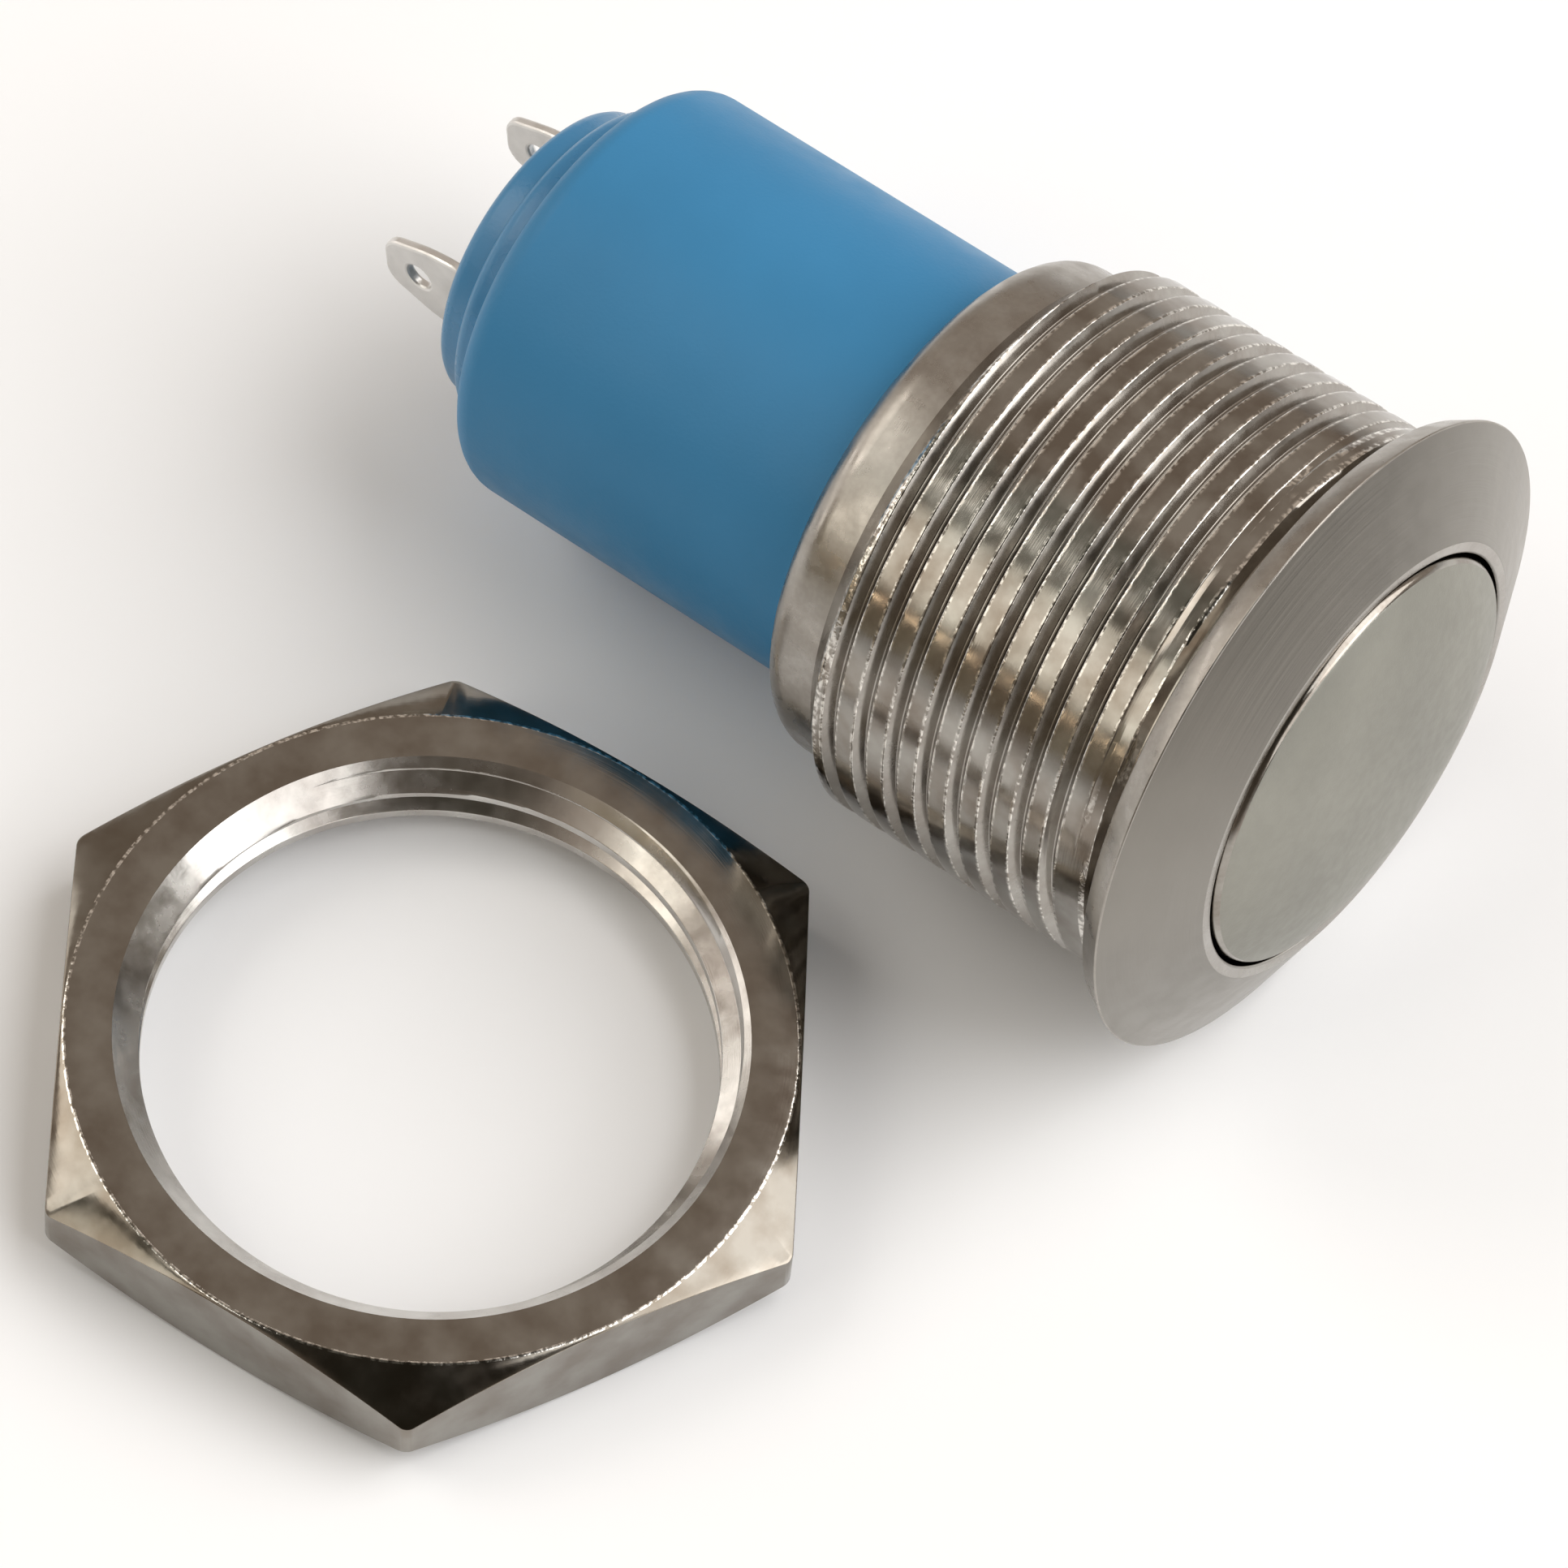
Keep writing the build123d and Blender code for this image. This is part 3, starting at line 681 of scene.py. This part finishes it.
class BuildBarrel(bpy.types.Operator):
    """Turn the flange and the collar, cut the thread and join them into the barrel"""

    bl_idname = "push_button.build_barrel"
    bl_label = "Barrel"

    def execute(self, context):
        sizes = context.scene.barrel_sizes
        neck_radius = thread_radius - sizes.neck_depth
        collar_radius = thread_radius - sizes.collar_step
        thread_rear = -thread_length - sizes.thread_chamfer
        barrel = self.turn_body(sizes, neck_radius, collar_radius, thread_rear)
        chamfer_slope = sizes.collar_step / sizes.thread_chamfer
        fading = sizes.groove_depth / sizes.run_out

        def limit(radius, place):
            place = min(max(place, thread_rear), -sizes.neck_length)
            faded = thread_radius - max(-sizes.groove_end - place, 0) * fading
            neck = neck_radius - sizes.neck_length - place
            chamfer = collar_radius + (place - thread_rear) * chamfer_slope
            return min(max(radius, faded), neck, chamfer), place

        turns = round((thread_length + sizes.thread_chamfer) / sizes.pitch) + 1
        start = -(turns - 0.5) * sizes.pitch - sizes.groove_start
        groove = -sizes.groove_depth, sizes.groove_width
        thread = cut_thread("barrel_thread", thread_radius, *groove, sizes.pitch, start, turns, limit)
        join_into(barrel, thread)
        rim = sizes.rim_height + EDGE_SHARE * sizes.edge
        inner = sizes.bore_radius + EDGE_SHARE * sizes.edge
        on_neck = within(-sizes.neck_length - sizes.neck_depth, 0, outer=thread_radius)
        on_rim = within(0, rim, thread_radius)
        on_collar = within(-inf, thread_rear, sizes.rear_bore_radius)

        def on_satin(face):
            return on_rim(face) or on_collar(face)

        def in_groove(face):
            middle = face.calc_center_median()
            depth = limit(thread_radius, middle.z)[0] - middle.xy.length
            threaded = -thread_length < middle.z < -sizes.groove_end
            return threaded and sizes.crest_leeway < depth < 1.2 * sizes.groove_depth

        def on_ring(face):
            middle = face.calc_center_median()
            return face.normal.z > 0.98 and inner < middle.xy.length < inner + sizes.ring_width

        # The groove, satin and ring copies of the nickel are painted lighter: painted light in the grooves, on the
        # rim, the collar and the flat ring.
        paint(
            barrel, nickel_plate("barrel_nickel", switch_place, edges_of=thread_edges),
            (nickel_plate("neck_nickel", switch_place, haze=0.5), on_neck),
            (nickel_plate("groove_nickel", switch_place, 0.06, 0.22, haze=0.6), in_groove),
            (nickel_plate("satin_nickel", switch_place, 0.06, 0.3, haze=0.3), on_satin),
            (turned_bezel(), within(rim, inf, inner)),
            (nickel_plate("ring_nickel", switch_place, 0.13, 0.25, haze=0.5), on_ring),
        )
        hand_over(barrel, "barrel_housing", "root")
        return {"FINISHED"}

    def turn_body(self, sizes, neck_radius, collar_radius, thread_rear):
        """Neck, flange, bezel, bores, web and rolled collar in one outline."""
        ring_radius = sizes.bore_radius + sizes.ring_width
        web_front = -sizes.web_depth
        web_rear = web_front - sizes.web_thickness
        lip_front = barrel_rear + sizes.collar_lip
        lip_radius = bpy.context.scene.tail_sizes.body_radius + sizes.collar_clearance
        seat_radius = flange_radius - sizes.rim_taper
        outline = start_outline("barrel", neck_radius, -sizes.neck_length)
        draw_lines(
            outline, (neck_radius, 0), (seat_radius, 0), (flange_radius, sizes.rim_height),
            (ring_radius, barrel_front), (sizes.bore_radius, barrel_front), (sizes.bore_radius, web_front),
            (sizes.web_hole_radius, web_front), (sizes.web_hole_radius, web_rear),
            (sizes.rear_bore_radius, web_rear), (sizes.rear_bore_radius, lip_front),
            (lip_radius, lip_front), (lip_radius, barrel_rear), (collar_radius, barrel_rear),
            (collar_radius, thread_rear),
        )
        round_corners(
            outline, (neck_radius, 0, sizes.neck_round), (seat_radius, 0, sizes.edge),
            (flange_radius, sizes.rim_height, sizes.edge), (ring_radius, barrel_front, 0.5 * sizes.edge),
            (sizes.bore_radius, barrel_front, sizes.edge), (collar_radius, barrel_rear, sizes.collar_round),
            (lip_radius, barrel_rear, sizes.edge),
        )
        turn_on_lathe()
        return outline


class BuildButton(bpy.types.Operator):
    """Turn the domed button cap with its polished edge"""

    bl_idname = "push_button.build_button"
    bl_label = "Button cap"

    def execute(self, context):
        sizes = context.scene.button_sizes
        edge_centre = Vector((button_radius - sizes.edge_round, 0, sizes.edge_height))
        way = Vector((sin(sizes.shoulder_slope), 0, cos(sizes.shoulder_slope)))
        shoulder_centre = edge_centre - (sizes.shoulder_round - sizes.edge_round) * way
        rise = sizes.crown_height - shoulder_centre.z - sizes.shoulder_round
        crown_slope = 2 * atan2(rise, shoulder_centre.x)
        crown_round = sizes.shoulder_round + shoulder_centre.x / sin(crown_slope)
        arcs = (
            (12, crown_slope, Vector((0, 0, sizes.crown_height - crown_round))),
            (24, sizes.shoulder_slope - crown_slope, shoulder_centre),
            (10, pi / 2 - sizes.shoulder_slope, edge_centre),
        )
        skirt_bore = button_radius - sizes.skirt_wall
        groove_end = -sizes.groove_start - sizes.groove_width
        groove_radius = button_radius - sizes.groove_depth
        cap = start_outline("button", 0, sizes.crown_height)
        for steps, angle, centre in arcs:
            bpy.ops.mesh.spin(steps=steps, angle=-angle, center=centre, axis=(0, 1, 0))
        draw_lines(
            cap, (button_radius, -sizes.groove_start), (groove_radius, -sizes.groove_start),
            (groove_radius, groove_end), (button_radius, groove_end), (button_radius, button_rear),
            (skirt_bore, button_rear), (skirt_bore, sizes.roof_under),
            (sizes.boss_radius, sizes.roof_under), (sizes.boss_radius, -sizes.boss_depth),
            (sizes.hole_radius, -sizes.boss_depth), (sizes.hole_radius, sizes.hole_top),
            (0, sizes.hole_top),
        )
        turn_on_lathe()
        polished = within(-inf, sizes.edge_height + sizes.polished_width)
        paint(cap, blasted_dome(), (nickel_plate("button_nickel", switch_place), polished))
        hand_over(cap, "button_cap", "button")
        return {"FINISHED"}


class BuildTail(bpy.types.Operator):
    """Turn the blue housing, the stepped terminal base and its resin"""

    bl_idname = "push_button.build_tail"
    bl_label = "Blue housing and tail"

    def execute(self, context):
        sizes = context.scene.tail_sizes
        self.turn_housing(sizes, moulded_plastic("blue_housing", 0.42))
        self.turn_base(sizes, moulded_plastic("blue_tail", 0.3, 0.5))
        self.pour_resin(sizes)
        return {"FINISHED"}

    def turn_housing(self, sizes, plastic):
        """Housing with its clamped flange and its rounded shoulder."""
        bore = sizes.seat_radius + sizes.seat_clearance
        clamp_rear = housing_front - sizes.clamp_length
        housing = start_outline("blue_housing", sizes.bore_radius, housing_front)
        draw_lines(
            housing, (housing_flange_radius, housing_front), (housing_flange_radius, clamp_rear),
            (sizes.body_radius, clamp_rear), (sizes.body_radius, housing_rear), (bore, housing_rear),
            (bore, tail_front), (sizes.bore_radius, tail_front), (sizes.bore_radius, housing_front),
        )
        round_corners(housing, (sizes.body_radius, housing_rear, sizes.body_round))
        turn_on_lathe()
        paint(housing, plastic)
        hand_over(housing, "rear_housing", "root")

    def turn_base(self, sizes, plastic):
        """Base with its two steps, the pocket for the resin and the well for the plunger."""
        ring_rear = housing_rear - sizes.step_length
        pocket = resin_radius + sizes.resin_clearance
        pocket_floor = tail_rear + sizes.resin_depth
        well_floor = tail_front - sizes.well_depth
        base = start_outline("tail_base", 0, well_floor)
        draw_lines(
            base, (sizes.well_radius, well_floor), (sizes.well_radius, tail_front),
            (sizes.seat_radius, tail_front), (sizes.seat_radius, housing_rear),
            (sizes.ring_radius, housing_rear), (sizes.ring_radius, ring_rear),
            (sizes.disc_radius, ring_rear), (sizes.disc_radius, tail_rear), (pocket, tail_rear),
            (pocket, pocket_floor), (0, pocket_floor),
        )
        round_corners(
            base, (sizes.ring_radius, ring_rear, sizes.step_round),
            (sizes.disc_radius, tail_rear, sizes.step_round),
            (sizes.disc_radius, ring_rear, sizes.step_corner), (pocket, tail_rear, sizes.pocket_round),
        )
        turn_on_lathe()
        paint(base, plastic)
        hand_over(base, "terminal_base", "root")

    def pour_resin(self, sizes):
        """Resin that creeps up the wall of its pocket and sags in the middle."""
        resin = start_outline("resin", 0, resin_front)
        draw_lines(
            resin, (resin_radius, resin_front), (resin_radius, resin_rear),
            (0.93 * resin_radius, resin_rear + 0.7 * sizes.resin_hollow),
            (0.8 * resin_radius, resin_rear + 0.95 * sizes.resin_hollow),
            (0, resin_rear + sizes.resin_hollow),
        )
        turn_on_lathe()
        paint(resin, plain_finish("sealing_resin", bpy.context.scene.finish_colours.resin, 0.0, 0.22))
        hand_over(resin, "resin_seal", "root")


class BuildLugs(bpy.types.Operator):
    """Stamp the soldering lug with its eye and its bent foot, and copy it to the other side"""

    bl_idname = "push_button.build_lugs"
    bl_label = "Soldering lugs"

    def execute(self, context):
        sizes = context.scene.lug_sizes
        tin = plain_finish("tinned_sheet", context.scene.finish_colours.tin, 1.0, 0.42, 0.25)
        first = self.stamp_lug(sizes)
        paint(first, tin)
        bpy.ops.object.duplicate()
        second = name_new("soldering_lug_b")
        second.rotation_euler = (0, 0, pi)
        bpy.ops.object.transform_apply(location=False, rotation=True, scale=False)
        hand_over(second, "terminal_lug_b", "root", 20)
        select_only(first)
        hand_over(first, "terminal_lug_a", "root", 20)
        return {"FINISHED"}

    def stamp_lug(self, sizes):
        """Blade with its eye, then the foot that is bent outwards inside the base."""
        half = sizes.width / 2
        half_tip = sizes.tip_width / 2
        foot_rear = lug_front - sizes.thickness
        shoulder = lug_rear + sizes.taper
        lug = start_outline("soldering_lug_a", half, foot_rear)
        draw_lines(
            lug, (half, shoulder), (half_tip, lug_rear), (-half_tip, lug_rear), (-half, shoulder),
            (-half, foot_rear), (half, foot_rear),
        )
        for side in (1, -1):
            round_corners(
                lug, (side * half_tip, lug_rear, sizes.tip_round),
                (side * half, shoulder, sizes.shoulder_round),
            )
        bpy.ops.mesh.select_all(action="DESELECT")
        eye = (0, 0, lug_rear + sizes.eye_place)
        bpy.ops.mesh.primitive_circle_add(
            vertices=EYE_STEPS, radius=sizes.eye_radius, location=eye, rotation=(pi / 2, 0, 0)
        )
        bpy.ops.mesh.select_all(action="SELECT")
        bpy.ops.mesh.remove_doubles(threshold=WELD_GAP)
        bpy.ops.mesh.fill()
        bpy.ops.mesh.select_all(action="SELECT")
        bpy.ops.transform.translate(value=(0, sizes.offset - sizes.thickness / 2, 0))
        bpy.ops.mesh.extrude_region_move(TRANSFORM_OT_translate={"value": (0, sizes.thickness, 0)})
        bpy.ops.mesh.select_all(action="SELECT")
        bpy.ops.mesh.normals_make_consistent(inside=False)

        def at_front(face):
            return face.normal.z > FACING and face.calc_center_median().z > foot_rear - HAIR

        pick(lug, "FACE", at_front)
        bpy.ops.mesh.extrude_region_move(TRANSFORM_OT_translate={"value": (0, 0, sizes.thickness)})
        narrow = sizes.foot_width / sizes.width

        def in_foot(vertex):
            return vertex.co.z > foot_rear + HAIR

        pick(lug, "VERT", in_foot)
        bpy.ops.transform.resize(value=(narrow, 1, 1), center_override=(0, 0, 0))

        def outer_side(face):
            return face.normal.y > FACING and face.calc_center_median().z > foot_rear + HAIR

        pick(lug, "FACE", outer_side)
        reach = sizes.foot_length - sizes.thickness
        bpy.ops.mesh.extrude_region_move(TRANSFORM_OT_translate={"value": (0, reach, 0)})
        weld()
        apply_modifier(
            lug, "Stamped edges", "BEVEL", width=sizes.edge, segments=2, limit_method="ANGLE",
            angle_limit=STAMPED_ANGLE, loop_slide=False,
        )
        return lug


class BuildNut(bpy.types.Operator):
    """Turn a chamfered disc, cut it to a hexagon and thread its bore"""

    bl_idname = "push_button.build_nut"
    bl_label = "Hexagon nut"

    def execute(self, context):
        sizes = context.scene.nut_sizes
        pitch = context.scene.barrel_sizes.pitch
        groove = sizes.groove_depth, pitch - NUT_LAND
        top = sizes.thickness
        nut = self.cut_hexagon(sizes)
        sink_slope = (sizes.countersink_radius - nut_thread_radius) / sizes.countersink_depth

        def limit(radius, place):
            place = min(max(place, 0), top)
            sunk = sizes.countersink_radius - sink_slope * min(place, top - place)
            return max(radius, sunk), place

        turns = round(top / pitch) + 2
        start = -1.3 * pitch
        thread = cut_thread("nut_thread", nut_thread_radius, *groove, pitch, start, turns, limit)
        join_into(nut, thread)
        in_bore = within(-inf, inf, outer=sizes.countersink_radius + EDGE_SHARE * sizes.edge)

        def on_chamfer(face):
            return 0.6 < face.normal.z < 0.97 and not in_bore(face)

        # Painted light and shade: the face copy is a little darker, the chamfer copy darker against the lamp it
        # mirrors, and the cut thread copy much lighter, a painted reflection in the bore.
        paint(
            nut, nickel_plate("nut_nickel", nut_place, -0.02, edges_of=face_circle, haze=0.7),
            (nickel_plate("chamfer_nickel", nut_place, -0.09, edges_of=face_circle, haze=0.5), on_chamfer),
            (nickel_plate("cut_thread", nut_place, 0.26, 0.22), in_bore),
        )
        nut.location = (nut_centre.x, nut_centre.y, nut_centre.z - top / 2)
        nut.rotation_euler = (0, 0, sizes.turn)
        bpy.ops.object.transform_apply(location=True, rotation=True, scale=False)
        hand_over(nut, "panel_nut", "root", 20, upright=False)
        return {"FINISHED"}

    def cut_hexagon(self, sizes):
        """Chamfered disc with six flats and eased edges, its bore still open."""
        top = sizes.thickness
        flat = sizes.across_flats / 2
        face_radius = flat - sizes.face_inset
        blank_radius = 1.2 * flat
        drop = (blank_radius - face_radius) * tan(sizes.chamfer_angle)
        nut = start_outline("hexagon_nut", sizes.countersink_radius, 0)
        draw_lines(
            nut, (face_radius, 0), (blank_radius, drop), (blank_radius, top - drop), (face_radius, top),
            (sizes.countersink_radius, top),
        )
        turn_on_lathe()
        bpy.ops.object.mode_set(mode="EDIT")
        for number in range(6):
            angle = (number + 0.5) * pi / 3
            side = Vector((cos(angle), sin(angle), 0))
            bpy.ops.mesh.select_all(action="SELECT")
            bpy.ops.mesh.bisect(plane_co=side * flat, plane_no=side, use_fill=True, clear_outer=True)
        weld()
        bpy.ops.object.mode_set(mode="EDIT")

        def upright(edge):
            run = edge.verts[0].co - edge.verts[1].co
            return abs(run.z) > 0.5 * MM and run.xy.length < 0.01 * MM

        pick(nut, "EDGE", upright)
        bpy.ops.mesh.bevel(offset=sizes.corner_round, segments=4, affect="EDGES")

        def crisp(edge):
            return len(edge.link_faces) == 2 and edge.calc_face_angle() > CRISP_ANGLE

        pick(nut, "EDGE", crisp)
        bpy.ops.mesh.bevel(offset=sizes.edge, segments=2, affect="EDGES", clamp_overlap=True)
        bpy.ops.object.mode_set(mode="OBJECT")
        return nut


class BuildSprings(bpy.types.Operator):
    """Wind the return spring and the bridge spring"""

    bl_idname = "push_button.build_springs"
    bl_label = "Springs"

    def execute(self, context):
        sizes = context.scene.spring_sizes
        steel = plain_finish("spring_wire", (0.45, 0.44, 0.43), 1.0, 0.25)
        travels = {joint["name"]: -joint["range_m"][0] for joint in frame["joints"]}
        press = travels["button_press"]
        rear, front = self.wind("return_spring", sizes.return_wire, sizes.return_turns, steel)
        self.let_shorten("return_spring", "root", rear, 1 - (press + sizes.play) / (front - rear))
        rear, front = self.wind("bridge_spring", sizes.bridge_wire, sizes.bridge_turns, steel)
        shortening = press - travels["bridge_follow"] + sizes.play
        self.let_shorten("bridge_spring", "button", front, 1 - shortening / (front - rear))
        return {"FINISHED"}

    def wind(self, node, wire, turns, steel):
        """Round wire, wound up the upright axis between the ends of its CAD node."""
        rear, front, outer_radius = measure(node)
        select_only()
        bpy.ops.mesh.primitive_circle_add(
            vertices=WIRE_STEPS, radius=wire / 2, location=(outer_radius - wire / 2, 0, rear + wire / 2),
            rotation=(pi / 2, 0, 0),
        )
        spring = name_new("wound_" + node)
        bpy.ops.object.transform_apply(location=True, rotation=True, scale=False)
        sweep_up(spring, (front - rear - wire) / turns, turns, SPRING_STEPS)
        bpy.ops.object.mode_set(mode="EDIT")
        pick(spring, "EDGE", lambda edge: edge.is_boundary)
        bpy.ops.mesh.fill_holes(sides=0)
        weld()
        paint(spring, steel)
        return rear, front

    def let_shorten(self, node, body, held_end, share):
        """Lets the spring ride on a body."""
        spring = bpy.data.objects["wound_" + node]
        hand_over(spring, node, body)
        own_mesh(spring)


class FinishInside(bpy.types.Operator):
    """Give every piece inside the switch its own finish"""

    bl_idname = "push_button.finish_inside"
    bl_label = "Inner pieces"

    def execute(self, context):
        finishes = (
            ("natural_plastic", (0.72, 0.69, 0.60), 0.0, 0.4, 0.15, ("plunger", "plunger_guide")),
            ("black_rubber", (0.012, 0.012, 0.013), 0.0, 0.6, 0.3, ("button_seal", "housing_gasket")),
            ("spring_steel", (0.45, 0.44, 0.43), 1.0, 0.25, 0.15, ("retaining_clip", "bridge_clip")),
            ("contact_brass", (0.62, 0.43, 0.17), 1.0, 0.26, 0.15, ("contact_bridge",)),
            (
                "contact_silver", (0.82, 0.80, 0.76), 1.0, 0.22, 0.15,
                ("moving_contact_a", "moving_contact_b", "fixed_contact_a", "fixed_contact_b"),
            ),
        )
        for name, colour, metallic, roughness, grain, nodes in finishes:
            finish = plain_finish(name, colour, metallic, roughness, grain)
            for node in nodes:
                materials = frame["nodes"][node].data.materials
                materials.clear()
                materials.append(finish)
        return {"FINISHED"}


class BuildStudio(bpy.types.Operator):
    """Lay the pale floor and set the lights and the camera"""

    bl_idname = "push_button.build_studio"
    bl_label = "Studio"

    def execute(self, context):
        settings = context.scene.studio_settings
        self.lay_floor(context.scene.finish_colours.floor)
        self.set_room(context, settings.room)
        lamps = (
            ("main_lamp", (0.52, 0.45, 0.73), (1.13, 1.13), 2.6, (1.0, 1.0, 1.0)),
            ("window", (-0.44, -0.72, 0.54), (0.36, 0.49), 1.5, (1.0, 0.97, 0.88)),
            ("left_lamp", (-0.73, -0.22, 0.65), (0.5, 0.5), 2.6, (1.0, 0.96, 0.9)),
            ("right_strip", (0.87, 0.10, 0.42), (1.2, 0.45), 1.6, (1.0, 0.98, 0.97)),
            ("left_strip", (-0.95, -0.28, 0.14), (0.8, 0.22), 1.5, (1.0, 0.98, 0.95)),
            ("low_left_lamp", (-0.27, -0.46, 0.85), (0.2, 0.2), 2.1, (1.0, 0.96, 0.9)),
            ("warm_bulb", (-0.41, -0.88, 0.24), (0.03, 0.02), 12.0, (1.0, 0.76, 0.52)),
        )
        for lamp in lamps:
            self.hang_light(*lamp)
        self.place_camera(context, settings)
        context.scene.view_settings.view_transform = "Standard"
        return {"FINISHED"}

    def lay_floor(self, colour):
        """Large floor under the object, with a painted pool of light: pale near the middle and darker further out.
        """
        select_only()
        bpy.ops.mesh.primitive_plane_add(size=FLOOR_SIZE, location=(0, 0, frame_box[0].z))
        floor = name_new("floor")
        material, shader = new_material("floor_paper", 0.0, 0.9)
        place = add_node(material, "ShaderNodeTexCoord").outputs["Object"]
        away = reckon_vector(material, "LENGTH", place, result="Value")
        # Painted pool of light: the colour is pale within 5 cm of the floor's middle and 45 % darker past 16 cm.
        painted_light_pool = map_range(material, away, 0.05, 0.16, interpolation_type="SMOOTHSTEP")
        vary_colour(material, shader, painted_light_pool, colour, darker(colour, 0.45))
        vary_gloss(material, shader, place, 200, 0.85, 0.95)
        shader.inputs["Specular IOR Level"].default_value = 0.1
        floor.data.materials.append(material)

    def set_room(self, context, colour):
        """Soft light from the room, with darker parts: each is a direction, where it fades and its colour."""
        dark_parts = (
            ((1.0, 0.1, 0.0), 20, 60, (0.30, 0.30, 0.29)),
            ((-0.37, -0.93, 0.0), 15, 38, (0.30, 0.25, 0.18)),
            ((-0.47, -0.36, 0.81), 12, 24, (0.25, 0.24, 0.20)),
            ((0.50, -0.75, 0.43), 15, 35, (0.12, 0.10, 0.08)),
            ((0.25, -0.31, 0.92), 22, 36, (0.05, 0.045, 0.035)),
        )
        world = bpy.data.worlds.new("room")
        world.use_nodes = True
        way = add_node(world, "ShaderNodeTexCoord").outputs["Generated"]
        shade = colour
        for direction, inner, outer, dark in dark_parts:
            unit = Vector(direction).normalized()
            nearness = reckon_vector(world, "DOT_PRODUCT", way, unit, result="Value")
            limits = cos(radians(outer)), cos(radians(inner))
            near = map_range(world, nearness, *limits, interpolation_type="SMOOTHSTEP")
            shade = blend_colours(world, near, shade, dark)
        world.node_tree.links.new(shade, world.node_tree.nodes["Background"].inputs["Color"])
        context.scene.world = world

    def hang_light(self, name, direction, sizes, brightness, colour):
        """A soft rectangular light that faces the object, of this radiance."""
        way = LAMP_DISTANCE * Vector(direction).normalized()
        bpy.ops.object.light_add(type="AREA", location=way)
        lamp = name_new(name)
        lamp.rotation_euler = way.to_track_quat("Z", "Y").to_euler()
        lamp.data.shape = "RECTANGLE"
        lamp.data.size, lamp.data.size_y = sizes
        lamp.data.energy = brightness * pi * sizes[0] * sizes[1]
        lamp.data.color = colour
        lamp.visible_camera = False

    def place_camera(self, context, settings):
        """Camera at the photograph's angle."""
        turn, rise, roll = settings.azimuth, settings.elevation, settings.roll
        level = Vector((cos(turn), sin(turn), 0))
        toward = Vector((sin(turn) * cos(rise), -cos(turn) * cos(rise), sin(rise)))
        upward = toward.cross(level)
        right = cos(roll) * level + sin(roll) * upward
        up = -sin(roll) * level + cos(roll) * upward
        bpy.ops.object.camera_add()
        camera = bpy.context.object
        aim = -settings.aim_left * right - settings.aim_down * up
        camera.matrix_world = Matrix.Translation(aim + settings.distance * toward) @ Matrix(
            (right, up, toward)
        ).transposed().to_4x4()
        camera.data.lens = settings.lens
        camera.data.sensor_width = 36
        context.scene.camera = camera


class PushButtonPanel(bpy.types.Panel):
    """Sidebar panel with the steps that build the push button and its settings"""

    bl_idname = "VIEW3D_PT_push_button"
    bl_label = "Push Button"
    bl_space_type = "VIEW_3D"
    bl_region_type = "UI"
    bl_category = "Push Button"

    def draw(self, context):
        steps = self.layout.column()
        for step in STEPS:
            steps.operator(step.bl_idname)
        for group, kind in SETTINGS.items():
            box = self.layout.box()
            box.label(text=kind.__doc__)
            for name in kind.__annotations__:
                box.prop(getattr(context.scene, group), name)


STEPS = (BuildBarrel, BuildButton, BuildTail, BuildLugs, BuildNut, BuildSprings, FinishInside, BuildStudio)
SETTINGS = {
    "barrel_sizes": BarrelSizes,
    "button_sizes": ButtonSizes,
    "tail_sizes": TailSizes,
    "lug_sizes": LugSizes,
    "spring_sizes": SpringSizes,
    "nut_sizes": NutSizes,
    "finish_colours": FinishColours,
    "studio_settings": StudioSettings,
}


def register():
    """Makes the settings, the steps and the panel known to Blender."""
    for kind in (*SETTINGS.values(), *STEPS, PushButtonPanel):
        bpy.utils.register_class(kind)
    for group, kind in SETTINGS.items():
        setattr(bpy.types.Scene, group, bpy.props.PointerProperty(type=kind))


def unregister():
    """Takes them back out."""
    for group in SETTINGS:
        delattr(bpy.types.Scene, group)
    for kind in reversed((*SETTINGS.values(), *STEPS, PushButtonPanel)):
        bpy.utils.unregister_class(kind)


def main():
    """Builds the scene."""
    register()
    bpy.ops.push_button.build_barrel()
    bpy.ops.push_button.build_button()
    bpy.ops.push_button.build_tail()
    bpy.ops.push_button.build_lugs()
    bpy.ops.push_button.build_nut()
    bpy.ops.push_button.build_springs()
    bpy.ops.push_button.finish_inside()
    bpy.ops.push_button.build_studio()


if __name__ == "__main__":
    main()
